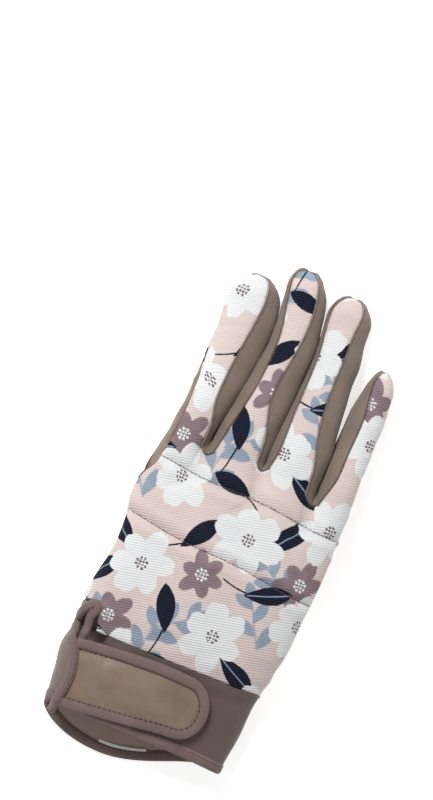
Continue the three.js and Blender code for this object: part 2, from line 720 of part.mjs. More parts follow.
const pieces = [
  ['back_panel', backPanel(), print],
  ['palm_panel', palmPanel(), leather],
  ['fourchette_index_middle', gusset(index, middle), elastic],
  ['fourchette_middle_ring', gusset(middle, ring), elastic],
  ['fourchette_ring_little', gusset(ring, little), elastic],
  ['thumb_back', thumbPatch(false), print],
  ['thumb_front', thumbPatch(true), leather],
  ['crotch_patch', crotchPatch(), leather],
  ['index_touch_tip', touchTip(index), leather],
  ['middle_touch_tip', touchTip(middle), leather],
  ['palm_pad_upper', palmPad(pads.upper), leather],
  ['palm_pad_heel', palmPad(pads.heel), leather],
  ['cuff_knit', cuffPatch(knit_start, knit_end, knit_columns), elastic],
  ['cuff_back', cuffPatch(back_start, cuffSeamAngle, back_columns), smooth_knit],
  ['cuff_binding', hemBinding(), tape],
  ['slit_binding', slitBinding(), tape],
  ['wrist_strap', strapTongue(), leather],
  ['strap_binding', strapBinding(), tape],
  ['size_label', sizeLabel(), white],
];

const glove = new THREE.Group();
for (const [name, patches, look] of pieces) {
  const mesh = new THREE.Mesh(wall(patches), new THREE.MeshStandardMaterial({ ...look, metalness: 0 }));
  mesh.name = name;
  glove.add(mesh);
}

// The glove stands on the floor under the middle of its outline.
const box = new THREE.Box3().setFromObject(glove);
const centre = box.getCenter(new THREE.Vector3());
glove.position.set(-centre.x, -centre.y, -box.min.z);

export default glove;
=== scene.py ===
import math

import bpy
import numpy as np
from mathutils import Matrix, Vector


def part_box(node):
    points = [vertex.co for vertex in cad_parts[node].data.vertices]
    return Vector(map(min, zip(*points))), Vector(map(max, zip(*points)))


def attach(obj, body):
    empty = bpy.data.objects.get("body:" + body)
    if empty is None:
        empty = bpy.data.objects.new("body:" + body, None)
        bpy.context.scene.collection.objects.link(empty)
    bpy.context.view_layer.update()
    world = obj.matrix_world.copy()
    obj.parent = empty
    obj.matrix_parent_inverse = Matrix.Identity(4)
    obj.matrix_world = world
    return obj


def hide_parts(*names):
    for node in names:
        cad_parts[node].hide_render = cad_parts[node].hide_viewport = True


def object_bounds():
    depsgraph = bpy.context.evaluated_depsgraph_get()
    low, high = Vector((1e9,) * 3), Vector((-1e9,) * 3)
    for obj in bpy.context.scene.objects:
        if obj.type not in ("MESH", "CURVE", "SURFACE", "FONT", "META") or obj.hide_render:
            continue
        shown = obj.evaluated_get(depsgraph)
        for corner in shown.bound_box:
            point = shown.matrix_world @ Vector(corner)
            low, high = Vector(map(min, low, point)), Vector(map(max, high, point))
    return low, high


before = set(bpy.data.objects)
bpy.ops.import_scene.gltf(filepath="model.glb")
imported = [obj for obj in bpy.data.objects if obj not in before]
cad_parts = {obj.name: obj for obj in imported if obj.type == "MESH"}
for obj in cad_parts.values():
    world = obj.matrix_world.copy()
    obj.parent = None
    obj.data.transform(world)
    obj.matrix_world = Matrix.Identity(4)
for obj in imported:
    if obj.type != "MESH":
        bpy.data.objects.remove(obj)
cad_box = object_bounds()

# Lengths below are millimetres in the glove's own plan, whose zero lies between the cuff seam and the
# finger crotches. place() turns them into metres in the frame. Angles are degrees round a section: 0 at the
# thumb's border, 90 on the back, 180 at the little finger's border and 270 in the palm.
MM = 0.001
PALM_WIDTH = 88.0
HAND_LENGTH = 92.0
HAND_DEPTH = 20.0
MIDDLE_BASE = 0.985
MIDDLE_LENGTH = 89.0
FINGER_DEPTH = 14.0
THUMB_DEPTH = 10.2
WEB_SLANT = 14.0
CUFF_WIDTH = 87.0
CUFF_DEPTH = 25.0
CUFF_BACK_LENGTH = 35.0
CUFF_PALM_LENGTH = 50.0
CUFF_SEAM_Y = -HAND_LENGTH / 2
FABRIC_WALL = 1.1
CUFF_WALL = 1.5
BINDING_WIDTH = 5.0
BINDING_DEPTH = 2.7
PANEL_REACH = 1 - BINDING_WIDTH * 0.5 / CUFF_BACK_LENGTH
STRAP_START = -35.0
STRAP_TUCK = (-0.4, 2.6)
STRAP_LENGTH = 61.0
STRAP_WIDTH = 31.0
FAR = 9.0

middle_tip_y = CUFF_SEAM_Y + MIDDLE_BASE * HAND_LENGTH + MIDDLE_LENGTH
shift = np.array([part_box("wrist_strap")[0][0] / MM - STRAP_START, cad_box[1][1] / MM - middle_tip_y, 0.0])


def place(points):
    return (np.asarray(points) + shift) * MM


def lerp(a, b, t):
    return a + (b - a) * t


def smooth(x, low, high):
    t = np.clip((np.asarray(x, float) - low) / (high - low), 0, 1)
    return t * t * (3 - 2 * t)


def bell(x, width):
    return np.exp(-(x / width) ** 2)


def dome(past, power=2.3):
    """Falls from 1 to 0 in a round end as past goes from 0 to 1."""
    return np.sqrt(np.maximum(0, 1 - past ** power))


def unit(vectors):
    return vectors / np.linalg.norm(vectors, axis=-1, keepdims=True)


def arrays(a, b):
    return np.broadcast_arrays(np.asarray(a, float), np.asarray(b, float))


class Table:
    """Rows of shares along a form, read along a smooth curve through them."""

    def __init__(self, names, rows):
        self.at, *columns = np.array(rows, float).T
        self.columns = dict(zip(names.split(), columns))

    def __call__(self, name, along):
        x, y = self.at, self.columns[name]
        last = len(x) - 1
        before, after = np.maximum(np.arange(last + 1) - 1, 0), np.minimum(np.arange(last + 1) + 1, last)
        slope = (y[after] - y[before]) / (x[after] - x[before])
        t = np.clip(np.asarray(along, float), x[0], x[-1])
        i = np.clip(np.searchsorted(x, t) - 1, 0, last - 1)
        span = x[i + 1] - x[i]
        s = (t - x[i]) / span
        rise = span * (slope[i] * s * (1 - s) ** 2 - slope[i + 1] * s * s * (1 - s))
        return lerp(y[i], y[i + 1], s * s * (3 - 2 * s)) + rise

    def every(self, along):
        return [self(name, along) for name in self.columns]


# Sections of the hand and fingers: borders as shares of the palm's width, lift as a share of the folded
# thumb's depth, and depth as a share of the hand's or a finger's.
HAND = Table("radial ulnar lift depth", [
    (0.00, -0.462, 0.500, 0.28, 1.16),
    (0.11, -0.488, 0.522, 0.60, 1.13),
    (0.24, -0.472, 0.546, 0.84, 1.08),
    (0.39, -0.442, 0.554, 1.04, 1.02),
    (0.54, -0.440, 0.566, 1.11, 0.98),
    (0.66, -0.460, 0.571, 1.11, 0.93),
    (0.78, -0.446, 0.568, 1.11, 0.88),
    (0.90, -0.425, 0.572, 1.11, 0.81),
    (1.00, -0.407, 0.573, 1.11, 0.75),
    (1.20, -0.386, 0.568, 1.08, 0.68),
])
BORDER_LEVEL = 0.4
BACK_ROUNDNESS = 0.75
PALM_ROUNDNESS = 0.5


class Finger:
    """A finger: its sections, the panel seams' angles, and the crotch lines beside it on the back."""

    def __init__(self, length, base, crotches, press, palm, seams, rows):
        self.length = length
        self.press = press
        self.base = CUFF_SEAM_Y + base * HAND_LENGTH
        self.crotches = crotches
        self.palm = palm
        self.seams = Table("first last", seams)
        self.back = self.seams.every(0.0)
        self.table = Table("radial ulnar lift depth", rows)


INDEX = Finger(78, 1.00, (0.0, -1.0), (0.0, 0.8), (206, 380), [
    (0.00, 46, 143),
    (0.12, 42, 134),
    (0.28, 32, 106),
    (0.60, 20, 102),
    (0.85, 18, 115),
    (0.93, 12, 121),
    (0.975, 8, 138),
    (1.00, 4, 172),
], [
    (0.00, -0.406, -0.204, 1.11, 1.00),
    (0.22, -0.384, -0.172, 1.08, 0.98),
    (0.44, -0.380, -0.136, 0.72, 0.95),
    (0.66, -0.377, -0.114, 0.38, 0.90),
    (0.84, -0.388, -0.120, 0.20, 0.84),
    (1.00, -0.398, -0.150, 0.16, 0.78),
])
MIDDLE = Finger(MIDDLE_LENGTH, MIDDLE_BASE, (-1.0, 3.2), (0.8, 1.35), (206, 336), [
    (0.00, 40, 139),
    (0.14, 46, 131),
    (0.34, 53, 102),
    (0.55, 50, 105),
    (0.75, 38, 118),
    (0.92, 34, 126),
    (0.975, 26, 142),
    (1.00, 8, 172),
], [
    (0.00, -0.192, 0.092, 1.11, 1.00),
    (0.22, -0.158, 0.093, 1.09, 0.98),
    (0.44, -0.122, 0.104, 0.74, 0.94),
    (0.66, -0.102, 0.110, 0.40, 0.90),
    (0.84, -0.128, 0.090, 0.20, 0.84),
    (1.00, -0.158, 0.050, 0.16, 0.78),
])
RING = Finger(88, 0.955, (5.0, -0.5), (1.35, 0.6), (206, 336), [
    (0.00, 30, 134),
    (0.12, 42, 128),
    (0.34, 34, 106),
    (0.60, 27, 104),
    (0.82, 27, 112),
    (0.93, 27, 126),
    (0.975, 22, 142),
    (1.00, 8, 172),
], [
    (0.00, 0.102, 0.378, 1.11, 0.98),
    (0.22, 0.104, 0.378, 1.09, 0.95),
    (0.44, 0.122, 0.358, 0.74, 0.91),
    (0.66, 0.130, 0.346, 0.40, 0.88),
    (0.84, 0.108, 0.334, 0.20, 0.82),
    (1.00, 0.098, 0.312, 0.16, 0.78),
])
LITTLE = Finger(66, 0.925, (1.0, 0.0), (1.2, 0.0), (206, 336), [
    (0.00, 38, 206),
    (0.20, 70, 206),
    (0.40, 74, 206),
    (0.65, 75, 206),
    (0.82, 62, 206),
    (0.94, 46, 206),
    (0.98, 34, 206),
    (1.00, 10, 206),
], [
    (0.00, 0.392, 0.573, 1.08, 0.90),
    (0.22, 0.390, 0.565, 1.00, 0.88),
    (0.44, 0.392, 0.566, 0.70, 0.86),
    (0.66, 0.400, 0.568, 0.40, 0.82),
    (0.84, 0.410, 0.558, 0.22, 0.78),
    (1.00, 0.422, 0.548, 0.18, 0.72),
])
FINGERS = [INDEX, MIDDLE, RING, LITTLE]
TIP_RADIUS = 11.0
TIP_LEAN = 0.35
TIP_OVERHANG = 1.2
TIP_NARROW = 0.03
TIP_THIN = 0.05
PRESS_TURN = 14
PRESS_REACH = 26
PRESS_START = (0.02, 0.16)
PRESS_END = (0.62, 0.86)
FREE_SIDE_TURN = 80
FREE_SIDE_REACH = 20
WEB_CURVE = 1.6


def hand_share(y):
    return (y - CUFF_SEAM_Y) / HAND_LENGTH


def thumb_first(angle):
    """Angles past the palm's middle, counted back from the thumb's border."""
    return np.where(angle > 270, angle - 360, angle)


def section(angle, left, right, floor, depth, inset):
    turn = np.radians(angle)
    half = (right - left) / 2 - inset
    s = np.sin(turn)
    up = depth * (1 - BORDER_LEVEL) - inset
    down = np.maximum(depth * BORDER_LEVEL - inset, 0.12)
    rise = np.where(s >= 0, up * np.abs(s) ** BACK_ROUNDNESS, -down * np.abs(s) ** PALM_ROUNDNESS)
    return (left + right) / 2 - half * np.cos(turn), floor + depth * BORDER_LEVEL + rise


def angle_at(x, left, right):
    """The angle on the back where a section between two borders has this x."""
    return np.degrees(np.arccos(np.clip((left + right - 2 * x) / (right - left), -1, 1)))


def hand_point(angle, y, inset=0.0):
    angle, y = arrays(angle, y)
    left, right, lift, depth = HAND.every(hand_share(y))
    borders = left * PALM_WIDTH, right * PALM_WIDTH
    x, z = section(angle, *borders, lift * THUMB_DEPTH, depth * HAND_DEPTH, inset)
    return np.stack([x, y, z], -1)


def hand_borders(y):
    return HAND("radial", hand_share(y)) * PALM_WIDTH, HAND("ulnar", hand_share(y)) * PALM_WIDTH


def side_angle(x, y):
    return angle_at(x, *hand_borders(y))


def palm_point(x, y, inset=0.0):
    x, y = arrays(x, y)
    return hand_point(360 - side_angle(x, y), y, inset)


def base_y(finger, angle):
    """Where a finger's first ring stands: on the back's crotch line, slanting down its sides."""
    turn = thumb_first(angle)
    (near, far), (low, high) = finger.back, finger.palm
    high = high - 360
    top = finger.base + lerp(*finger.crotches, smooth(turn, 0, 180))
    if low > far:
        past_far = np.clip((turn - far) / (low - far), 0, 1) ** WEB_CURVE
    else:
        past_far = smooth(turn, far - FREE_SIDE_REACH, far)
    if near > high:
        past_near = np.clip((near - turn) / (near - high), 0, 1) ** WEB_CURVE
    else:
        past_near = smooth(-turn, -near, FREE_SIDE_TURN - near)
    return lerp(top, finger.base + WEB_SLANT, np.where(turn > 90, past_far, past_near))


def finger_point(finger, angle, along, inset=0.0):
    angle, along = arrays(angle, along)
    tip = finger.base + finger.length - TIP_OVERHANG
    y = lerp(base_y(finger, angle), tip, along)
    share = (y - finger.base) / finger.length
    past = np.clip((y - tip + TIP_RADIUS) / TIP_RADIUS, 0, 1)
    thin = lerp(TIP_THIN, 1, dome(past))
    left, right, lift, depth = finger.table.every(share)
    middle = (left + right) * PALM_WIDTH / 2
    half = (right - left) * PALM_WIDTH / 2 * lerp(TIP_NARROW, 1, dome(past))
    floor = lift * THUMB_DEPTH + depth * FINGER_DEPTH * (1 - thin) * BORDER_LEVEL
    depth = depth * FINGER_DEPTH * thin
    kept = np.minimum(inset, np.minimum(depth * BORDER_LEVEL, half * 0.8))
    x, z = section(angle, middle - half, middle + half, floor, depth, kept)
    lean = TIP_LEAN * past ** 1.5 * (z - floor - depth * BORDER_LEVEL)
    window = smooth(share, *PRESS_START) * (1 - smooth(share, *PRESS_END))
    near, far = finger.press
    turn = thumb_first(angle)
    pressed = far * bell(turn - PRESS_TURN - 180, PRESS_REACH) - near * bell(turn + PRESS_TURN, PRESS_REACH)
    return np.stack([x + window * pressed, y - lean, z], -1)


CUFF = Table("radial ulnar depth", [
    (0.0, -0.480, 0.505, 1.00),
    (0.3, -0.508, 0.492, 1.02),
    (0.6, -0.494, 0.482, 1.00),
    (1.0, -0.476, 0.462, 0.96),
])
CUFF_LIFT = 0.5
CUFF_TOP_LIFT = 0.2 * THUMB_DEPTH
SLIT_RISE = 0.12
SLIT_TURN = 38.0
WRAP_TURN = -12.0
HAND_SIDE_TURN = 22.0
KNIT_TURN = -28.0
KNIT_REACH = 40
HEM_MIDDLE = 286.0
HEM_REACH = 76.0
HEM_THUMB_REACH = 96.0
HEM_CORNER = 3.0
HEM_CORNER_REACH = 60


def hem_bump(angle):
    off = (angle - HEM_MIDDLE + 540) % 360 - 180
    off = np.abs(off) / np.where(off > 0, HEM_THUMB_REACH, HEM_REACH)
    return np.where(off < 1, np.cos(off * np.pi / 2) ** 2, 0.0)


def cuff_share(y):
    return np.clip((CUFF_SEAM_Y - y) / CUFF_BACK_LENGTH, 0, 1)


def cuff_borders(y):
    return CUFF("radial", cuff_share(y)) * CUFF_WIDTH, CUFF("ulnar", cuff_share(y)) * CUFF_WIDTH


def cuff_section(angle, y, inset):
    share = cuff_share(y)
    lift = CUFF_TOP_LIFT * (1 - smooth(share, 0, 0.2)) + CUFF_LIFT
    x, z = section(angle, *cuff_borders(y), lift, CUFF("depth", share) * CUFF_DEPTH, inset)
    return np.stack([x, y, z], -1)


def cuff_point(angle, along, inset=0.0):
    angle, along = arrays(angle, along)
    turn = np.where(angle > 180, angle - 360, angle)
    slope = smooth(turn, KNIT_TURN, KNIT_TURN + KNIT_REACH)
    rise = np.where(turn > SLIT_TURN, 0.0, SLIT_RISE * HAND_LENGTH * slope)
    reach = lerp(CUFF_BACK_LENGTH, CUFF_PALM_LENGTH, hem_bump(angle))
    reach = reach + HEM_CORNER * bell(angle - 180, HEM_CORNER_REACH)
    return cuff_section(angle, lerp(CUFF_SEAM_Y + rise, CUFF_SEAM_Y - reach, along), inset)


THUMB = Table("left_x left_y right_x right_y top hole_x hole_y", [
    (0.00, -0.430, -0.004, -0.085, -0.004, 0.20, -0.150, -0.004),
    (0.09, -0.438, 0.120, -0.118, 0.110, 0.48, -0.190, 0.110),
    (0.19, -0.428, 0.300, -0.130, 0.225, 0.74, -0.220, 0.235),
    (0.29, -0.428, 0.480, -0.060, 0.350, 0.94, -0.240, 0.390),
    (0.39, -0.445, 0.630, 0.015, 0.480, 1.00, -0.280, 0.530),
    (0.48, -0.400, 0.700, 0.080, 0.590, 1.00, -0.360, 0.690),
    (0.58, -0.225, 0.785, 0.165, 0.730, 1.00, -0.225, 0.785),
    (0.69, -0.160, 0.895, 0.235, 0.830, 1.00, -0.160, 0.895),
    (0.80, -0.085, 0.990, 0.290, 0.935, 0.98, -0.085, 0.990),
    (0.89, -0.010, 1.055, 0.312, 1.055, 0.95, -0.010, 1.055),
    (0.96, 0.065, 1.125, 0.290, 1.140, 0.88, 0.065, 1.125),
    (1.00, 0.125, 1.180, 0.225, 1.190, 0.62, 0.125, 1.180),
])
THUMB_CROTCH = 0.58
FLAT_SHARE = 0.62
HOLE = Table("x", [row[::-1] for row in zip(THUMB.columns["hole_x"][:6], THUMB.columns["hole_y"][:6])])


def thumb_side(side, along):
    y = THUMB(side + "_y", along) * HAND_LENGTH + CUFF_SEAM_Y
    return np.stack([THUMB(side + "_x", along) * PALM_WIDTH, y], -1)


def thumb_point(along, share, inset, up):
    """The folded thumb's upper or lower face, flat in its middle and rooted at the hand's border."""
    along, share = arrays(along, share)
    left, right = thumb_side("hole" if up else "left", along), thumb_side("right", along)
    top = THUMB("top", along) * THUMB_DEPTH
    rooted = 1 - smooth(along, THUMB_CROTCH - 0.16, THUMB_CROTCH - 0.02)
    border = hand_point(WRAP_TURN, left[..., 1], inset)
    narrow = np.minimum(inset / np.linalg.norm(right - left, axis=-1), 0.4)
    plan = lerp(left, right, lerp(narrow, 1 - narrow, share)[..., None])
    x = plan[..., 0]
    if not up:
        x = x + (border[..., 0] - left[..., 0] - inset) * rooted * (1 - share) ** 4
    root_edge = top if up else border[..., 2]
    edge = np.where(share < 0.5, lerp(top / 2, root_edge, rooted), top / 2)
    profile = dome(np.maximum(0, np.abs(2 * share - 1) - FLAT_SHARE) / (1 - FLAT_SHARE), 2)
    kept = np.minimum(inset, top / 2 - 0.1) * profile
    z = lerp(edge, top, profile) - kept if up else lerp(edge, 0.02, profile) + kept
    return np.stack([x, plan[..., 1], z], -1)


# Meshes from grids.
INSIDE = -4.0
FLOOR_GAP = 0.02
SHARP_ANGLE = 55
TAPE_CROWN = 0.75


def normals(grid):
    n = np.cross(np.gradient(grid, axis=1), np.gradient(grid, axis=0))
    return n / np.maximum(np.linalg.norm(n, axis=-1, keepdims=True), 1e-9)


def low_normals(grid, axis=2):
    """Normals on the side of a grid that faces the low end of an axis."""
    out = normals(grid)
    return -out if out[len(grid) // 2, grid.shape[1] // 2, axis] > 0 else out


def surface_normal(point, angle, along, turn, step):
    """Outward normals of a surface given as a function of angle and position."""
    over = point(angle + turn, along) - point(angle - turn, along)
    down = point(angle, along + step) - point(angle, along - step)
    return unit(np.cross(down, over))


def arc(grid, axis):
    """Distance along each row or column of a grid, from its first point."""
    total = np.cumsum(np.linalg.norm(np.diff(grid, axis=axis), axis=-1), axis=axis)
    return np.concatenate([np.zeros_like(np.take(total, [0], axis=axis)), total], axis=axis)


def nearer_end(distance, axis):
    return np.minimum(distance, np.take(distance, [-1], axis=axis) - distance)


def spread(count, edge=0.0, fine=0):
    """Shares from 0 to 1, closer together in a band at each end."""
    if not fine:
        return np.linspace(0, 1, count + 1)
    band = edge * np.linspace(0, 1, fine + 1) ** 1.4
    middle = np.linspace(edge, 1 - edge, count - 2 * fine + 1)
    return np.concatenate([band[:-1], middle, (1 - band[::-1])[1:]])


class Patch:
    """A grid of outer points, the inner points behind them, and what its material reads."""

    def __init__(self, outer, inner, outward=1.0):
        self.outer, self.inner, self.fields = np.array(outer), np.array(inner), {}
        self.normal = normals(self.outer) * outward

    def push(self, distance):
        move = self.normal * np.asarray(distance)[..., None]
        self.outer = self.outer + move
        self.inner = self.inner + move


def new_object(name, points, faces, material, **fields):
    """A piece from points in the glove's plan and lists of faces, each list with faces of one size."""
    mesh = bpy.data.meshes.new(name)
    sizes = np.concatenate([np.full(len(f), f.shape[1]) for f in faces])
    corners = np.concatenate([f.ravel() for f in faces]).astype(np.int32)
    mesh.vertices.add(len(points))
    points = np.array(points)
    points[:, 2] = np.maximum(points[:, 2], FLOOR_GAP)
    mesh.vertices.foreach_set("co", place(points).astype(np.float32).ravel())
    mesh.loops.add(len(corners))
    mesh.loops.foreach_set("vertex_index", corners)
    mesh.polygons.add(len(sizes))
    mesh.polygons.foreach_set("loop_start", np.concatenate([[0], np.cumsum(sizes)[:-1]]).astype(np.int32))
    mesh.update(calc_edges=True)
    mesh.validate()
    for field, values in fields.items():
        attribute = mesh.attributes.new(field, "FLOAT_VECTOR", "POINT")
        attribute.data.foreach_set("vector", np.asarray(values, np.float32).ravel())
    mesh.polygons.foreach_set("use_smooth", np.ones(len(mesh.polygons), bool))
    mesh.set_sharp_from_angle(angle=math.radians(SHARP_ANGLE))
    mesh.materials.append(material)
    piece = bpy.data.objects.new(name, mesh)
    bpy.context.scene.collection.objects.link(piece)
    return piece


def finish_piece(piece, slot, *nodes):
    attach(piece, "root")
    if nodes:
        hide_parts(*nodes)
    return piece


def faces_in(points, faces):
    """Whether the four-sided faces round a form point inwards."""
    a, b, c, d = (points[faces[:, i]] for i in range(4))
    return np.einsum("ij,ij->", a, np.cross(b, c)) + np.einsum("ij,ij->", a, np.cross(c, d)) < 0


def wall(name, patches, material):
    """Closes patches that share borders into one solid wall."""
    outer, inner = (np.concatenate([side.reshape(-1, 3) for side in sides])
                    for sides in zip(*((p.outer, p.inner) for p in patches)))
    faces, start = [], 0
    for p in patches:
        rows, columns = p.outer.shape[:2]
        corner = (np.arange(rows - 1)[:, None] * columns + np.arange(columns - 1)[None, :]).ravel() + start
        faces.append(np.stack([corner, corner + 1, corner + columns + 1, corner + columns], -1))
        start += rows * columns
    _, first, where = np.unique(np.round(outer, 2), axis=0, return_index=True, return_inverse=True)
    faces = where.ravel()[np.concatenate(faces)]
    faces = faces[[len(set(f)) == 4 for f in faces.tolist()]]
    outer, inner = outer[first], inner[first]
    edges = np.concatenate([faces[:, [i, (i + 1) % 4]] for i in range(4)])
    count = len(outer)
    a, b = edges[~np.isin(edges[:, 0] * count + edges[:, 1], edges[:, 1] * count + edges[:, 0])].T
    every = np.concatenate([faces, faces[:, ::-1] + count, np.stack([b, a, a + count, b + count], -1)])
    points = np.concatenate([outer, inner])
    if faces_in(points, every):
        every = every[:, ::-1]
    fields = {}
    for field in patches[0].fields:
        values = np.concatenate([p.fields[field].reshape(-1, 3) for p in patches])[first]
        fields[field] = np.concatenate([values, values])
    if "weave" in fields:
        fields["weave"][count:, 2] = INSIDE
    return new_object(name, points, [every], material, **fields)


def tape(name, path, normal, width, thickness, material, sides=20):
    """A flat rounded band swept along a path, lying square to the normals given along it."""
    tangent = unit(np.gradient(path, axis=0))
    across = unit(np.cross(tangent, normal))
    up = np.cross(across, tangent)
    turn = np.arange(sides) / sides * 2 * np.pi
    wide, high = (np.sign(f(turn)) * np.abs(f(turn)) ** TAPE_CROWN * size / 2
                  for f, size in ((np.cos, width), (np.sin, thickness)))
    rings = path[:, None] + across[:, None] * wide[None, :, None] + up[:, None] * high[None, :, None]
    along, wide = np.broadcast_arrays(arc(path[:, None], 0), wide[None])
    weave = np.stack([along, wide, np.ones(wide.shape)], -1)
    i = np.arange(len(path) - 1)[:, None] * sides
    j = np.arange(sides)[None]
    k = (j + 1) % sides
    faces = np.stack([i + j, i + sides + j, i + sides + k, i + k], -1).reshape(-1, 4)
    faces = [faces, j, j[:, ::-1] + (len(path) - 1) * sides]
    points = rings.reshape(-1, 3)
    if faces_in(points, faces[0]):
        faces = [f[:, ::-1] for f in faces]
    return new_object(name, points, faces, material, weave=weave.reshape(-1, 3))


STITCH_LENGTH = 1.7
STITCH_SAG = 0.12
THREAD_SIDES = 6
THREAD_ENDS = np.array([-1.0, -0.82, 0.82, 1.0])[:, None, None]
THREAD_GIRTHS = np.array([0.25, 1.0, 1.0, 0.25])[:, None, None]


def stitches(name, runs, material, pitch, radius, lift):
    """Sewing thread along runs of (points, normals): a capsule for each stitch, joined into one mesh."""
    turn = (np.arange(THREAD_SIDES) / THREAD_SIDES * 2 * np.pi)[:, None]
    rings = []
    for path, normal in runs:
        along = arc(path[:, None], 0)[:, 0]
        places = np.arange(pitch / 2, along[-1], pitch)

        def read(values, at):
            return np.stack([np.interp(at, along, values[:, i]) for i in range(3)], -1)

        tangent = unit(read(path, places + 0.3) - read(path, places - 0.3))
        side = unit(np.cross(tangent, read(normal, places)))
        up = np.cross(side, tangent)
        centre, tangent, side, up = (v[:, None, None] for v in (read(path, places), tangent, side, up))
        spine = centre + up * (lift - STITCH_SAG * np.abs(THREAD_ENDS) ** 3)
        spine = spine + tangent * STITCH_LENGTH / 2 * THREAD_ENDS
        rings.append(spine + radius * THREAD_GIRTHS * (np.cos(turn) * side + np.sin(turn) * up))
    points = np.concatenate(rings).reshape(-1, 3)
    start = np.arange(0, len(points), len(THREAD_ENDS) * THREAD_SIDES)[:, None]
    ring, j = np.divmod(np.arange((len(THREAD_ENDS) - 1) * THREAD_SIDES), THREAD_SIDES)
    a, k = ring * THREAD_SIDES, (j + 1) % THREAD_SIDES
    barrel = np.stack([a + j, a + k, a + THREAD_SIDES + k, a + THREAD_SIDES + j], -1)
    end = np.arange(THREAD_SIDES)
    caps = np.concatenate([end[::-1] + start, end + a[-1] + THREAD_SIDES + start])
    return new_object(name, points, [(barrel + start[..., None]).reshape(-1, 4), caps], material)


def waves(x, y, size, seed):
    """Soft uneven undulation, about -1 to 1, with features of the size given."""
    rng = np.random.default_rng(seed)
    total = np.zeros(np.broadcast(x, y).shape)
    for _ in range(7):
        turn, phase = rng.uniform(0, 2 * np.pi, 2)
        k = 2 * np.pi / (size * rng.uniform(0.8, 1.6))
        total = total + np.sin(k * (x * np.cos(turn) + y * np.sin(turn)) + phase)
    return total / 3.2


# The print, in millimetres of fabric: fields of distance to the edge of each colour's shapes. Blossoms and
# buds have a place, a size and a turn in radians; leaves a place, a turn in degrees, a length, a width and
# whether they are veined; sprigs a place, a turn in degrees and a length.
REPEAT_X, REPEAT_Y = 72.0, 84.0
REPEAT_MARGIN = 24
BLOSSOMS = [(17, 15, 15.5, 0.2), (50, 31, 14.5, 0.8), (18, 55, 15.0, 1.3), (52, 72, 14.0, 0.5)]
BUDS = [(45, 5, 11.0, 0.3), (4, 78, 10.0, 0.9)]
NAVY_LEAVES = [
    (33, 22, 48, 24, 8.8, True),
    (67, 17, 118, 22, 8.2, False),
    (34, 43, -28, 23, 8.6, True),
    (69, 52, 62, 21, 8.0, False),
    (34, 80, 20, 22, 7.8, True),
    (2, 35, 168, 19, 7.4, False),
]
BLUE_SPRIGS = [(64, 0, 70, 22), (33, 66, 118, 22), (0, 54, 35, 20), (34, 4, 150, 18)]


def turned(u, v, cu, cv, degrees):
    c, s = math.cos(math.radians(degrees)), math.sin(math.radians(degrees))
    return (u - cu) * c + (v - cv) * s, -(u - cu) * s + (v - cv) * c


def leaf(a, b, length, width):
    bow = 0.05 * a * a / length
    t = np.clip(2 * a / length, -1, 1)
    beyond = np.maximum(np.abs(a) - length / 2, 0)
    side = np.abs(b - bow) - width / 2 * (1 - t * t) * (1 + 0.25 * t)
    return np.where(beyond > 0, np.hypot(np.maximum(side, 0), beyond), side)


def blossom_edge(t, size, turn):
    """Radius of a blossom of six uneven notched petals."""
    petals = 0.60 + 0.40 * np.abs(np.cos(3 * t)) ** 0.75 - 0.05 * np.maximum(np.cos(6 * t), 0) ** 10
    return size * (1 + 0.09 * np.sin(2 * t + turn * 5) + 0.05 * np.sin(5 * t)) * petals


def bud_distance(du, dv, size, degrees):
    """Distance to a bud of six narrow petals round a small middle."""
    nearest = np.hypot(du, dv) - size * 0.22
    for k in range(6):
        a, b = turned(du, dv, 0, 0, degrees + 60 * k)
        reach = size * (1 + 0.12 * math.sin(k * 2.4))
        petal = (np.hypot((a - reach * 0.56) / (reach * 0.46), b / (size * 0.29)) - 1) * size * 0.3
        nearest = np.minimum(nearest, petal)
    return nearest


def sprig_distance(a, b, length):
    """Distance to a thin stalk with five leaves, the last of them at its tip."""
    nearest = np.maximum(np.abs(b) - 0.4, np.abs(a) - length / 2)
    for k in range(5):
        side = 1 if k % 2 else -1
        c, d = turned(a, b, (k / 4 - 0.42) * length + 3.6, side * 4.4 * (1 - 0.12 * k), side * 42)
        if k == 4:
            c, d = turned(a, b, length * 0.66, 0, 0)
        nearest = np.minimum(nearest, leaf(c, d, 13.5 - 0.9 * k, 5.6 - 0.3 * k))
    return nearest


def repeats(values, size):
    """The first repeat that reaches into a stretch of fabric, and the one past the last."""
    return int((values.min() - REPEAT_MARGIN) // size), int((values.max() + REPEAT_MARGIN) // size) + 1


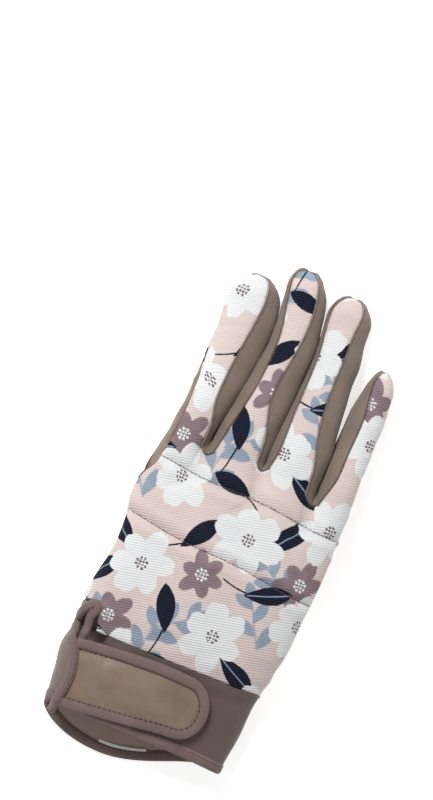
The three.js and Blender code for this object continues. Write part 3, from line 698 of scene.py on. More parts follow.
def print_fields(u, v):
    """Attributes of the printed fabric at fabric coordinates u, v."""
    white, mauve, navy, blue, vein, petal, stem_side, stem_end = (np.full(u.shape, FAR) for _ in range(8))
    nearest, nearest_blade, nearest_stem = (np.full(u.shape, FAR * 9) for _ in range(3))
    heart = np.stack([white, white, np.zeros(u.shape)], -1)
    (left, right), (low, high) = repeats(u, REPEAT_X), repeats(v, REPEAT_Y)
    for i, j in ((i, j) for i in range(left, right) for j in range(low - 1, high)):
        ou, ov = i * REPEAT_X, j * REPEAT_Y + (i % 2) * REPEAT_Y / 2
        for kind, flowers in enumerate((BLOSSOMS, BUDS)):
            for cu, cv, size, turn in flowers:
                du, dv = u - cu - ou, v - cv - ov
                r = np.hypot(du, dv)
                if kind:
                    mauve = np.minimum(mauve, bud_distance(du, dv, size, math.degrees(turn) + 25 * i))
                else:
                    t = np.arctan2(dv, du) + turn + 1.1 * i + 2 * j
                    edge = r - blossom_edge(t, size, turn)
                    lobe = np.abs(np.cos(3 * t)) * r * 0.5 + np.maximum(0, 3.0 - r)
                    petal = np.where(edge < white, lobe, petal)
                    white = np.minimum(white, edge)
                near = r < nearest
                heart[near] = np.stack([du, dv, np.full(u.shape, kind)], -1)[near]
                nearest = np.minimum(nearest, r)
        for cu, cv, turn, length, width, veined in NAVY_LEAVES:
            a, b = turned(u, v, cu + ou, cv + ov, turn + 8 * i)
            blade = leaf(a, b, length, width)
            navy = np.minimum(navy, blade)
            closer = blade < nearest_blade
            vein[closer] = (b - 0.05 * a * a / length)[closer] if veined else FAR
            nearest_blade = np.minimum(nearest_blade, blade)
            curve = b - 0.02 * a * a + 0.03 * length
            end = np.abs(a + length * 0.66) - length * 0.24
            stem = np.maximum(np.abs(curve), end)
            closer = stem < nearest_stem
            stem_side[closer], stem_end[closer] = curve[closer], end[closer]
            nearest_stem = np.minimum(nearest_stem, stem)
        for cu, cv, turn, length in BLUE_SPRIGS:
            sprig = turned(u, v, cu + ou, cv + ov, turn - 10 * i)
            blue = np.minimum(blue, sprig_distance(*sprig, length))
    stem_end = np.maximum(stem_end, nearest_stem - 1.6)
    fields = {
        "print_a": np.stack([white, mauve, navy], -1),
        "print_b": np.stack([blue, vein, np.maximum(petal, 0)], -1),
        "heart": heart,
        "bloom": np.stack([nearest, stem_side, stem_end], -1),
    }
    return {name: np.clip(field, -FAR, FAR) for name, field in fields.items()}


# Materials.
PINK = (0.672, 0.560, 0.530)
WHITE = (0.765, 0.775, 0.780)
MAUVE = (0.215, 0.150, 0.172)
NAVY = (0.005, 0.008, 0.022)
BLUE = (0.262, 0.325, 0.410)
GRAIN = (0.16, 0.10, 0.115)
RIB_SHADE = (0.56, 0.53, 0.53)
SEAM_SHADE = (0.085, 0.06, 0.05)
GUSSET_SEAM_SHADE = (0.06, 0.045, 0.038)
LEATHER = (0.225, 0.160, 0.118)
ELASTIC = (0.235, 0.180, 0.145)
TAPE = (0.185, 0.128, 0.116)
SMOOTH_KNIT = (0.114, 0.080, 0.070)
CUFF_RIB = (0.225, 0.170, 0.150)
# The taupe lining of inner faces, partly its own colour and partly painted light: made lighter to make up
# for the shade inside the cuff.
LINING_PAINTED_LIGHTER = (0.42, 0.315, 0.27)
# The printed cloth's inner face: its pale knit back painted dark, as painted shade inside the glove.
SHADED_CLOTH_BACK = (0.26, 0.21, 0.19)
LABEL = (0.80, 0.79, 0.77)
THREAD = (0.085, 0.058, 0.050)
FOLD_THREAD = (0.11, 0.078, 0.075)
FLOOR = (0.93, 0.93, 0.93)
RIB_PITCH = 1.12
RIB_SLANT = 0.20


def shade(color, factor):
    return tuple(c * factor for c in color)


class Nodes:
    """A short way to write a shader's node tree."""

    def __init__(self, name, roughness, color=(0.5, 0.5, 0.5), **inputs):
        self.material = bpy.data.materials.new(name)
        self.material.use_nodes = True
        self.tree = self.material.node_tree
        self.shader = self.tree.nodes["Principled BSDF"]
        self.shader.inputs["Roughness"].default_value = roughness
        self.shader.inputs["Base Color"].default_value = (*color, 1)
        for key, value in inputs.items():
            self.shader.inputs[key.replace("_", " ")].default_value = value
        self.where = self.tree.nodes.new("ShaderNodeTexCoord").outputs["Object"]

    def put(self, socket, value):
        if hasattr(value, "is_output"):
            self.tree.links.new(value, socket)
        else:
            socket.default_value = value

    def node(self, kind, *values, **named):
        """A node with its first sockets and its named ones filled in."""
        node = self.tree.nodes.new("ShaderNode" + kind)
        for socket, value in zip(node.inputs, values):
            self.put(socket, value)
        for key, value in named.items():
            self.put(node.inputs[key], value)
        return node

    def math(self, operation, *values):
        node = self.node("Math", *values)
        node.operation = operation
        return node.outputs[0]

    def times(self, a, b):
        return self.math("MULTIPLY", a, b)

    def scaled(self, value, factor, offset):
        return self.math("MULTIPLY_ADD", value, factor, offset)

    def length(self, a, b):
        return self.math("SQRT", self.math("ADD", self.times(a, a), self.times(b, b)))

    def within(self, value, half):
        """Distance to a band round a line, from the signed distance to the line."""
        return self.math("SUBTRACT", self.math("ABSOLUTE", value), half)

    def attribute(self, name):
        node = self.node("Attribute")
        node.attribute_name = name
        return self.node("SeparateXYZ", node.outputs["Vector"]).outputs

    def noise(self, scale, detail=3.0, roughness=0.55):
        node = self.node("TexNoise", Vector=self.where, Scale=scale, Detail=detail, Roughness=roughness)
        return node.outputs[0]

    def cells(self, scale):
        return self.node("TexVoronoi", Vector=self.where, Scale=scale).outputs["Distance"]

    def remap(self, value, low, high, to_low=0.0, to_high=1.0):
        return self.node("MapRange", value, low, high, to_low, to_high).outputs[0]

    def mix(self, factor, a, b):
        node = self.node("Mix", factor)
        node.data_type = "RGBA"
        for socket, v in zip([s for s in node.inputs if s.type == "RGBA"], (a, b)):
            self.put(socket, v if hasattr(v, "is_output") else (*v, 1))
        return [s for s in node.outputs if s.type == "RGBA"][0]

    def tones(self, pattern, base, dark, light):
        """A colour from its dark to its light shade, as a pattern goes from 0 to 1."""
        return self.mix(pattern, shade(base, dark), shade(base, light))

    def set(self, name, value):
        self.put(self.shader.inputs[name], value)

    def relief(self, height, distance):
        node = self.node("Bump", Strength=1.0, Distance=distance, Height=height)
        if self.shader.inputs["Normal"].is_linked:
            self.put(node.inputs["Normal"], self.shader.inputs["Normal"].links[0].from_socket)
        self.set("Normal", node.outputs[0])

    def ribs(self, coordinate, pitch):
        """A rounded rib profile from 0 in the valleys to 1 on the crests."""
        wave = self.math("SINE", self.times(coordinate, 2 * math.pi / pitch))
        return self.math("POWER", self.scaled(wave, 0.5, 0.5), 0.7)

    def dot_ring(self, u, v, count, radius, size):
        """A ring of small dots round zero."""
        turn = self.math("FRACT", self.scaled(self.math("ARCTAN2", v, u), count / (2 * math.pi), 16.0))
        across = self.times(self.math("SUBTRACT", turn, 0.5), 2 * math.pi * radius / count)
        off = self.math("SUBTRACT", self.length(u, v), radius)
        return self.remap(self.length(across, off), size + 0.12, size - 0.12)


def printed_fabric():
    n = Nodes("printed_rib_knit", 0.88, Sheen_Weight=0.04, Specular_IOR_Level=0.12)
    u, v, seam = n.attribute("weave")
    white, mauve, navy = n.attribute("print_a")
    blue, vein, petal = n.attribute("print_b")
    heart_u, heart_v, kind = n.attribute("heart")
    nearest, stem_side, stem_end = n.attribute("bloom")
    wobble = n.scaled(n.noise(900, 2), 0.5, -0.25)

    def cover(field, feather):
        return n.remap(n.math("ADD", field, wobble), feather, -feather)

    color = n.tones(n.remap(n.noise(60, 2), 0.35, 0.65), PINK, 1, 1.035)
    color = n.mix(cover(blue, 0.30), color, n.tones(n.noise(260, 2), BLUE, 0.85, 1.2))
    color = n.mix(cover(mauve, 0.25), color, n.tones(n.noise(300, 2), MAUVE, 0.8, 1.35))
    inked = n.math("MINIMUM", navy, n.math("MAXIMUM", n.within(stem_side, 0.42), stem_end))
    color = n.mix(cover(inked, 0.18), color, NAVY)
    veined = n.times(n.remap(n.within(vein, 0.26), 0.12, -0.12), n.remap(navy, -0.5, -0.9))
    color = n.mix(veined, color, BLUE)
    petal_shade = n.tones(n.remap(petal, 0.9, 0.0, 0.0, 0.25), WHITE, 1, 0.82)
    color = n.mix(cover(white, 0.30), color, petal_shade)
    shaken = n.scaled(n.noise(1100, 1), 1.6, -0.8)
    heart_u, heart_v = n.math("ADD", heart_u, shaken), n.math("ADD", heart_v, n.times(shaken, -0.7))
    dots = (n.dot_ring(heart_u, heart_v, *ring) for ring in ((8, 2.3, 0.60), (4, 0.95, 0.52)))
    dots = n.times(n.math("MAXIMUM", *dots), n.remap(nearest, 4.0, 3.6))
    color = n.mix(dots, color, n.mix(kind, GRAIN, WHITE))
    rib = n.ribs(n.scaled(u, -RIB_SLANT, v), RIB_PITCH)
    line = n.times(n.remap(rib, 0.40, 0.0, 0.0, 0.22), n.scaled(cover(inked, 0.2), -0.8, 1.0))
    color = n.mix(line, color, RIB_SHADE)
    color = n.mix(n.remap(seam, 0.75, 0.15, 0.0, 0.7), color, SEAM_SHADE)
    # Inner faces take the cloth's back, painted dark as shade inside the glove.
    n.set("Base Color", n.mix(n.remap(seam, -1.0, -2.0), color, SHADED_CLOTH_BACK))
    n.relief(rib, 0.00014)
    n.relief(n.noise(2600, 2), 0.00008)
    return n.material


def leather():
    n = Nodes("smooth_leather", 0.5, Specular_IOR_Level=0.42)
    fine = n.noise(700, 3)
    color = n.tones(n.remap(n.noise(55, 4), 0.35, 0.68), LEATHER, 0.88, 1.13)
    n.set("Base Color", n.mix(n.remap(fine, 0.3, 0.7, 0.0, 0.12), color, shade(LEATHER, 0.72)))
    n.set("Roughness", n.remap(fine, 0.3, 0.7, 0.44, 0.6))
    n.relief(n.cells(1500), 0.0001)
    n.relief(n.noise(190, 4, 0.6), 0.0002)
    return n.material


def ribbed(name, base, pitch, depth, dark=0.72):
    """A cloth with ribs along the weave's first coordinate, their valleys painted darker as shade."""
    n = Nodes(name, 0.82, Sheen_Weight=0.2, Specular_IOR_Level=0.3)
    u, _, seam = n.attribute("weave")
    rib = n.ribs(u, pitch)
    outside = n.remap(seam, -2.0, -1.0)
    color = n.tones(n.remap(n.noise(90, 3), 0.35, 0.65), base, 0.92, 1.08)
    # Painted shade: the valleys between the ribs darker by the factor dark.
    color = n.mix(n.times(n.remap(rib, 0.6, 0.0), outside), color, shade(base, dark))
    color = n.mix(n.times(n.remap(seam, 0.6, 0.1, 0.0, 0.6), outside), color, GUSSET_SEAM_SHADE)
    # Inner faces take the lining, painted lighter to make up for the shade inside the cuff.
    n.set("Base Color", n.mix(outside, LINING_PAINTED_LIGHTER, color))
    n.relief(n.times(rib, outside), depth)
    n.relief(n.noise(2400, 2), 0.00006)
    return n.material


def smooth_cloth(name, base):
    n = Nodes(name, 0.78, Sheen_Weight=0.3, Specular_IOR_Level=0.3)
    _, _, seam = n.attribute("weave")
    color = n.tones(n.remap(n.noise(60, 3), 0.3, 0.7), base, 0.9, 1.12)
    color = n.mix(n.remap(n.noise(3200, 2), 0.35, 0.65, 0, 0.35), color, shade(base, 1.3))
    # Inner faces take the lining, painted lighter to make up for the shade inside the cuff.
    n.set("Base Color", n.mix(n.remap(seam, -1.0, -2.0), color, LINING_PAINTED_LIGHTER))
    n.relief(n.noise(2600, 2), 0.00007)
    n.relief(n.noise(120, 3), 0.0004)
    return n.material


def thread(name, base):
    n = Nodes(name, 0.6, Specular_IOR_Level=0.35)
    n.set("Base Color", n.tones(n.noise(1800, 2), base, 0.75, 1.25))
    n.relief(n.cells(2200), 0.00008)
    return n.material


PRINT = printed_fabric()
HIDE = leather()
GUSSET = ribbed("gusset_rib", ELASTIC, 0.85, 0.00012)
BAND = ribbed("binding_rib", TAPE, 0.62, 0.00006, dark=0.86)
KNIT = ribbed("cuff_rib_knit", CUFF_RIB, 1.25, 0.00022)
CUFF_CLOTH = smooth_cloth("cuff_smooth_knit", SMOOTH_KNIT)
RIBBON = smooth_cloth("label_ribbon", LABEL)
TONAL = thread("tonal_thread", THREAD)
PRINT_THREAD = thread("fold_thread", FOLD_THREAD)


# The panels over the hand and fingers.
CROTCH_DIP = 2.3
INDEX_WRAP_TURN = -52.0
ACROSS = spread(30, 0.09, 5)
CROTCH_STEPS = np.linspace(0, 1, 9)[1:-1]
FINGER_COLUMNS = len(ACROSS)
COLUMN_STEP = FINGER_COLUMNS + len(CROTCH_STEPS)
TIP_ROWS = 0.84 + 0.16 * np.sin(np.linspace(0, 1, 26) * np.pi / 2)
FINGER_ROWS = np.concatenate([np.linspace(0, TIP_ROWS[0], 100)[:-1], TIP_ROWS])
HAND_ROWS = spread(142, 0.02, 4)


def roll(distance, depth=0.55, reach=1.3):
    """How a panel's border rolls down into its seam over a short way."""
    return -depth * np.clip(1 - distance / reach, 0, 1) ** 2.2


def index_seam(along):
    return lerp(INDEX.seams("first", along), INDEX_WRAP_TURN, smooth(along, 0.3, 0.46))


def back_span(finger, along):
    first = index_seam(along) if finger is INDEX else finger.seams("first", along)
    return first, finger.seams("last", along)


def palm_span(finger, along):
    last = index_seam(along) + 360 if finger is INDEX else np.full_like(along, finger.palm[1], dtype=float)
    return np.full_like(along, finger.palm[0], dtype=float), last


def back_start(y):
    return lerp(WRAP_TURN, HAND_SIDE_TURN, smooth(hand_share(y), 0.66, 0.86))


def back_hand_span(y):
    return back_start(y), np.full_like(y, LITTLE.back[1])


def palm_hand_span(y):
    hole = 360 - side_angle(HOLE("x", hand_share(y)) * PALM_WIDTH, y)
    end = lerp(hole, 360 + back_start(y), smooth(hand_share(y), 0.68, 0.76))
    return np.full_like(y, LITTLE.back[1]), end


def slit_trim(angle, y):
    """Gathers the columns beyond the slit at its edge."""
    edge = lerp(SLIT_TURN, WRAP_TURN, smooth(hand_share(y), SLIT_RISE, SLIT_RISE + 0.03))
    return np.where(angle < edge, lerp(edge, angle, 0.02), angle)


def crotch_bridge(here, there, steps):
    """Points from one finger's base to the next one's, dipping across the crotch between them."""
    bridge = lerp(here, there, steps)
    bridge[..., 1] -= CROTCH_DIP * np.sin(np.pi * steps[..., 0])
    return bridge


def hand_panel(order, span, finger_span, dorsal, inset):
    """A panel over the hand whose last row is the finger bases, with a dip across each crotch."""

    def angle_on_hand(points):
        turn = side_angle(points[..., 0], points[..., 1])
        return turn if dorsal else 360 - turn

    goals, edges = [], []
    for finger in order:
        first, last = (s[0] for s in finger_span(finger, np.zeros(1)))
        angle = lerp(first, last, ACROSS)
        if goals:
            start = finger_point(finger, first, 0.0, inset)
            goals.append(crotch_bridge(goals[-1][-1], start, CROTCH_STEPS[:, None]))
            edges.append(lerp(edges[-1][-1], angle_on_hand(finger_point(finger, first, 0.0)), CROTCH_STEPS))
        goals.append(finger_point(finger, angle, 0.0, inset))
        edges.append(angle_on_hand(finger_point(finger, angle, 0.0)))
    goal, edge = np.concatenate(goals), np.concatenate(edges)
    edge[0], edge[-1] = (s[0] for s in span(goal[:1, 1]))
    row = HAND_ROWS[:, None]
    y = lerp(CUFF_SEAM_Y, goal[None, :, 1], row)
    first, last = span(y)
    even = np.linspace(0, 1, len(edge))[None]
    placed = ((edge - edge[0]) / (edge[-1] - edge[0]))[None]
    angle = lerp(first, last, lerp(even, placed, smooth(row, 0.35, 1)))
    if dorsal:
        angle = slit_trim(angle, y)
    change = goal - hand_point(edge, goal[:, 1], inset)
    return hand_point(angle, y, inset) + change[None] * smooth(row, 0.7, 1)[..., None]


def fabric_coordinates(grid):
    """Distance across each section from the plan's centre line, and the plan's y."""
    across = arc(grid[..., ::2], 1)
    ways = 1 if grid[0, -1, 0] > grid[0, 0, 0] else -1
    for row, x in zip(across, grid[..., 0]):
        row -= np.interp(0.0, ways * x, row)
    return across, grid[..., 1]


def hand_and_fingers(order, hand_span, finger_span, dorsal):
    sides = (hand_panel(order, hand_span, finger_span, dorsal, inset) for inset in (0.0, FABRIC_WALL))
    hand = Patch(*sides)
    u, v = fabric_coordinates(hand.outer)
    side = arc(hand.outer, 1)
    reach = hand.outer[-1:, :, 1] - hand.outer[..., 1]
    gap = np.full(side.shape, FAR)
    patches = [hand]
    for k, finger in enumerate(order):
        first, after = k * COLUMN_STEP, k * COLUMN_STEP + FINGER_COLUMNS
        crotch = slice(after - 1, after + len(CROTCH_STEPS) + 1)
        gap[:, crotch] = reach[:, crotch]
        for edge in (first, after - 1):
            if 0 < edge < side.shape[1] - 1:
                away = side[:, first:after] - side[:, edge:edge + 1]
                gap[:, first:after] = np.minimum(gap[:, first:after], np.hypot(reach[:, first:after], away))
        rows = FINGER_ROWS[:, None]
        angle = lerp(*finger_span(finger, rows), ACROSS[None])
        patch = Patch(finger_point(finger, angle, rows), finger_point(finger, angle, rows, FABRIC_WALL))
        across, y = arc(patch.outer, 1), patch.outer[..., 1]
        middle = FINGER_COLUMNS // 2
        finger_u = across - across[:, middle:middle + 1] + u[-1, first + middle]
        seam = np.minimum(nearer_end(across, 1), y[-1:] - y + 0.4)
        patch.fields["weave"] = np.stack([finger_u, y, seam], -1)
        patch.finger = finger
        patches.append(patch)
    seam = np.minimum(nearer_end(side, 1), hand.outer[..., 1] - hand.outer[:1, :, 1])
    hand.fields["weave"] = np.stack([u, v, np.minimum(seam, gap)], -1)
    return patches


def join_bases(patches):
    """Gives each finger's first row the hand's last row, so that the two meet exactly."""
    fade = (1 - smooth(FINGER_ROWS, 0, 0.08))[:, None, None]
    for k, patch in enumerate(patches[1:]):
        columns = slice(k * COLUMN_STEP, k * COLUMN_STEP + FINGER_COLUMNS)
        for mine, theirs in ((patch.outer, patches[0].outer), (patch.inner, patches[0].inner)):
            mine += (theirs[-1, columns] - mine[0])[None] * fade


# The sewn flex lines across the back: share along the hand and tilt.
FOLDS = [(0.85, -0.07), (0.54, -0.10)]
GROOVE_DEPTH = 0.75
GROOVE_WIDTH = 0.75
SWELL_HEIGHT = 0.55
SWELL_OFF = 3.6
SWELL_WIDTH = 2.6
HOLLOW_WIDTH = 5.0


def fold_line(fold, x):
    along, tilt = fold
    return CUFF_SEAM_Y + HAND_LENGTH * along + tilt * x + 0.6 * np.sin(x / 9.0)


def fold_relief(x, y):
    """A narrow groove between two soft swells at each flex line, and the distance to the nearest line."""
    total, nearest = np.zeros(x.shape), np.full(x.shape, HAND_LENGTH)
    for number, fold in enumerate(FOLDS):
        d = y - fold_line(fold, x)
        nearest = np.minimum(nearest, np.abs(d))
        uneven = 1 + 0.35 * waves(x, y * 0, 16, 40 + number)
        total = total - GROOVE_DEPTH * bell(d, GROOVE_WIDTH)
        total = total + SWELL_HEIGHT * uneven * bell(np.abs(d) - SWELL_OFF, SWELL_WIDTH)
        total = total - np.exp(-(d / HOLLOW_WIDTH) ** 2 * 2)
    return total, nearest


def puckers(along, pitch, uneven, seam, reach):
    """Small sewn gathers that fade away from a seam."""
    return np.sin(along * 2 * np.pi / pitch + uneven) * np.exp(-seam / reach)


def finger_creases(patch, depth, seed):
    """Cross wrinkles, strongest at the joints and along the seams of a finger."""
    x, y, seam = patch.outer[..., 0], patch.outer[..., 1], patch.fields["weave"][..., 2]
    share = (y - patch.finger.base) / patch.finger.length
    joints = bell(share - 0.36, 0.09) + 0.7 * bell(share - 0.68, 0.08)
    pucker = puckers(y, 4.6, waves(x, y, 14, seed) * 2.5, seam, 2.6)
    cross = waves(x * 0.35, y, 5.5, seed + 1) * joints
    return depth * (0.55 * pucker + 0.8 * cross + 0.6 * waves(x, y, 13, seed + 2))


def tip_fade(y):
    return smooth(y[-1:] - y, 0, 2.2)


def build_back():
    patches = hand_and_fingers(FINGERS, back_hand_span, back_span, True)
    for number, patch in enumerate(patches):
        x, y = patch.outer[..., 0], patch.outer[..., 1]
        weave = patch.fields["weave"]
        patch.fields.update(print_fields(weave[..., 0] + 3.0, weave[..., 1]))
        relief = roll(weave[..., 2])
        if number:
            blend = smooth(FINGER_ROWS, 0, 0.08)[:, None] * smooth(weave[..., 2], 0, 2.5)
            relief = relief * tip_fade(y) + finger_creases(patch, 0.28, 20 + number) * blend
        else:
            calm = smooth(weave[..., 2], 0, 6)
            top = smooth(patch.normal[..., 2], 0.1, 0.7)
            folds, fold_distance = fold_relief(x, y)
            relief = relief + (folds + 0.5 * waves(x, y * 0.6, 24, 3)) * calm * top
            relief = relief + 0.35 * waves(x * 0.5, y, 10, 5) * (1 - smooth(y, -40, -26)) * calm
            weave[..., 2] = np.minimum(weave[..., 2], fold_distance + 0.28)
        patch.push(relief)
    join_bases(patches)
    return wall("back_panel_cloth", patches, PRINT)


def build_palm():
    patches = hand_and_fingers(FINGERS[::-1], palm_hand_span, palm_span, False)
    for number, patch in enumerate(patches):
        x, y = patch.outer[..., 0], patch.outer[..., 1]
        seam = patch.fields["weave"][..., 2]
        relief = roll(seam) + 0.2 * waves(x, y, 12, 60 + number) * smooth(seam, 0, 4)
        if number:
            creases = finger_creases(patch, 0.3, 70 + number) * smooth(FINGER_ROWS, 0, 0.1)[:, None]
            relief = relief * tip_fade(y) + creases
        patch.push(relief)
    join_bases(patches)
    return wall("palm_panel_leather", patches, HIDE)


def build_gusset(name, near, far):
    """A strip down one finger's side, across the crotch and up the next finger's side."""
    columns = spread(16, 0.14, 4)[None]
    web = np.linspace(0, 1, 14)[1:-1, None, None]

    def side(finger, seam, last, rows, inset):
        angle = lerp(finger.seams(seam, rows)[:, None], last, columns)
        grid = finger_point(finger, angle, rows[:, None], inset)
        grid[..., 1] -= inset * np.sin(np.pi * columns) * (rows[:, None] == 0)
        return grid

    def whole(inset):
        near_side = side(near, "last", near.palm[0], FINGER_ROWS[::-1], inset)
        far_side = side(far, "first", far.palm[1] - 360, FINGER_ROWS, inset)
        bridge = crotch_bridge(near_side[-1][None], far_side[0][None], web)
        return np.concatenate([near_side, bridge, far_side])

    patch = Patch(whole(0.0), whole(FABRIC_WALL))
    across, along = arc(patch.outer, 1), arc(patch.outer, 0)
    seam = nearer_end(across, 1)
    patch.fields["weave"] = np.stack([across, along, seam], -1)
    x, y = patch.outer[..., 0], patch.outer[..., 1]
    calm = smooth(np.abs(np.arange(len(patch.outer)) - (len(FINGER_ROWS) + 6)), 8, 26)[:, None]
    pucker = puckers(along, 4.2, waves(x, y, 12, 9) * 2, seam, 2.2) * 0.14
    swell = 0.25 * waves(x * 2, y * 0.7, 11, 12)
    patch.push((roll(seam, 0.5, 1.1) + (pucker + swell) * calm) * smooth(nearer_end(along, 0), 0, 3))
    return wall(name, [patch], GUSSET)


def build_thumb(name, up, material):
    rows, columns = spread(150)[:, None], spread(64, 0.2, 14)[None]
    middle = columns.size // 2
    sides = (thumb_point(rows, columns, inset, up) for inset in (0.0, FABRIC_WALL))
    patch = Patch(*sides, 1.0 if up else -1.0)
    side = arc(patch.outer, 1)
    seam = np.minimum(nearer_end(side, 1), arc(patch.outer, 0))
    x, y = patch.outer[..., 0], patch.outer[..., 1]
    u = side + (x - side)[:, middle:middle + 1]
    patch.fields["weave"] = np.stack([u, y, seam], -1)
    relief = roll(seam, 0.45, 1.2)
    if not up:
        patch.fields.update(print_fields(-u + 20, y + 13))
        relief = relief - 0.15 * np.abs(waves(x, y, 14, 33)) * smooth(seam, 0, 6)
    patch.push(relief)
    return wall(name, [patch], material)


# The cuff, its tapes and its strap. A stitch has its pitch, its thread's radius and its lift.
TAPE_STITCH = (2.3, 0.2, 0.0)
PALM_STITCH = (2.4, 0.22, 0.02)
FOLD_STITCH = (2.0, 0.17, 0.05)
HEM_START = 50.0
HEM_ROW_LEVEL = 1.36
HEM_ROW_INSET = 1.15
SLIT_EDGE = 391.0
SLIT_APEX = 0.72
SLIT = Table("x y", [
    (0.00, -37.8, -85.0),
    (0.12, -35.0, -77.5),
    (0.28, -33.9, -66.5),
    (0.40, -35.8, -57.5),
    (0.52, -40.0, -50.5),
    (0.62, -41.8, -44.0),
    (SLIT_APEX, -39.8, -37.8),
    (0.79, -36.6, -34.6),
    (0.85, -35.2, -36.6),
    (0.90, -36.8, -41.0),
    (1.00, -38.6, -54.0),
])
SLIT_TAPE_WIDTH = 4.0
SLIT_ROW_LEVEL = 1.22
SLIT_ROW_OFF = 1.2
OVER_STRAP = 3.7
OVER_STRAP_FROM = (48.5, 53)
OVER_STRAP_TO = (79, 84)


def hem_start(along):
    return HEM_START + 0 * along


def cuff_seam_angle(along):
    return lerp(228.0, 262.0, along)


def wrist_blend(y):
    return smooth(y, CUFF_SEAM_Y - 3, CUFF_SEAM_Y + 5)


def wrist_surface(angle, y, inset=0.0):
    """The hand above the cuff seam and the cuff below it, as one surface."""
    return lerp(cuff_section(angle, y, inset), hand_point(angle, y, inset), wrist_blend(y)[..., None])


def wrist_angle(x, y):
    borders = (lerp(cuff, hand, wrist_blend(y)) for cuff, hand in zip(cuff_borders(y), hand_borders(y)))
    return angle_at(x, *borders)


def slit_edge(along):
    """The angle of the cuff's edge under the slit's tape, from its top to the hem."""
    t = np.linspace(SLIT_APEX, 0, 60)
    y = lerp(CUFF_SEAM_Y + SLIT_RISE * HAND_LENGTH, CUFF_SEAM_Y - CUFF_BACK_LENGTH, along)
    return 360 + wrist_angle(np.interp(-y, -SLIT("y", t), SLIT("x", t)), y)


def build_cuff_part(name, first, last, columns, material, seed, swell):
    rows = spread(60, 0.04, 4)[:, None] * PANEL_REACH
    angle = lerp(first(rows), last(rows), spread(columns, 0.02, 4)[None])
    patch = Patch(cuff_point(angle, rows), cuff_point(angle, rows, CUFF_WALL))
    side = arc(patch.outer, 1)
    seam = np.minimum(nearer_end(side, 1), arc(patch.outer, 0))
    x, y = patch.outer[..., 0], patch.outer[..., 1]
    patch.fields["weave"] = np.stack([side, y, seam], -1)
    patch.push(roll(seam, 0.5, 1.3) + swell * waves(x, y * 0.8, 17, seed) * smooth(seam, 0, 4))
    return wall(name, [patch], material)


def build_hem():
    """The tape round the hem, with a row of sewing on each of its faces."""
    angle = np.linspace(HEM_START, SLIT_EDGE, 190)
    along = np.full_like(angle, PANEL_REACH)
    path = cuff_point(angle, along, CUFF_WALL / 2)
    normal = surface_normal(cuff_point, angle, along, 0.4, 0.008)
    runs = []
    for side in (-1.0, 1.0):
        row = path + normal * side * HEM_ROW_LEVEL + np.array([0, HEM_ROW_INSET, 0])
        runs.append((row, normal * side))
    return tape("cuff_hem_binding", path, normal, BINDING_WIDTH, BINDING_DEPTH, BAND), runs


def build_slit():
    """The bound slit: up from the hem, round its end and down behind the strap."""
    t = np.linspace(0, 1, 120)
    y = SLIT("y", t)
    angle = wrist_angle(SLIT("x", t), y)
    normal = surface_normal(wrist_surface, angle, y, 1, -0.5)
    over_strap = smooth(-y, *OVER_STRAP_FROM) * (1 - smooth(-y, *OVER_STRAP_TO)) * (t < 0.6)
    inset = 0.2 + 1.6 * smooth(t, 0.88, 0.95)
    path = wrist_surface(angle, y, inset) + normal * (OVER_STRAP * over_strap)[:, None]
    across = unit(np.cross(normal, np.gradient(path, axis=0)))
    run = (path + normal * SLIT_ROW_LEVEL - across * SLIT_ROW_OFF, normal)
    return tape("slit_edge_binding", path, normal, SLIT_TAPE_WIDTH, BINDING_DEPTH, BAND, sides=18), run


LABEL_TURNS = (HEM_MIDDLE - 28, HEM_MIDDLE + 3)
LABEL_SHARES = (0.893, 0.868)
LABEL_THICKNESS = 0.7


def build_label():
    angle = np.linspace(*LABEL_TURNS, 30)[None]
    rows = np.linspace(*LABEL_SHARES, 6)[:, None]
    inside = CUFF_WALL + 0.15
    patch = Patch(cuff_point(angle, rows, inside), cuff_point(angle, rows, inside + LABEL_THICKNESS))
    patch.push(0.12 * waves(angle, rows * 9, 9, 4))
    return wall("blank_label", [patch], RIBBON)


STRAP = Table("middle half", [
    (0.00, -20.0, 0.485),
    (0.25, -18.2, 0.492),
    (0.50, -16.8, 0.482),
    (0.75, -16.0, 0.450),
    (1.00, -16.6, 0.420),
])
STRAP_ROUND = 0.20
STRAP_LIFT = 1.4
STRAP_BORDER = 3.2
STRAP_THICKNESS = 1.5
STRAP_TAPE_WIDTH = 4.8
STRAP_TAPE_DEPTH = 3.0
STRAP_TAPE_PLACE = (2.3, 0.9)
STRAP_ROW_PLACE = (4.15, 2.4)


def strap_edge(along):
    half = STRAP("half", along) * STRAP_WIDTH * dome(np.clip((along - 1 + STRAP_ROUND) / STRAP_ROUND, 0, 1))
    return CUFF_SEAM_Y + STRAP("middle", along), half


def strap_x(along, side):
    """Place along the strap, whose start is tucked in further on its upper side."""
    tuck = lerp(*STRAP_TUCK, (side + 1) / 2) * (1 - smooth(along, 0, 0.3))
    return STRAP_START + STRAP_LENGTH * along - tuck


def strap_surface(x, y, inset):
    z = cuff_section(angle_at(x, *cuff_borders(y)), y, 0.0)[..., 2]
    return np.stack([x, y, z + STRAP_LIFT + 0.35 * waves(x, y, 19, 81) - inset], -1)


def strap_outline(inset, height):
    """The strap's edge, drawn in by inset, from its lower left end round its tip to the upper one."""
    t = np.linspace(0, 1, 240)
    along = 1 - np.abs(2 * t - 1) ** 1.7
    side = np.where(t < 0.5, -1.0, 1.0)
    middle, half = strap_edge(along)
    points = np.stack([strap_x(along, side), middle + side * half], -1)
    tangent = unit(np.gradient(points, axis=0))
    x, y = (points + np.stack([-tangent[:, 1], tangent[:, 0]], -1) * inset).T
    return strap_surface(x, y, -height)


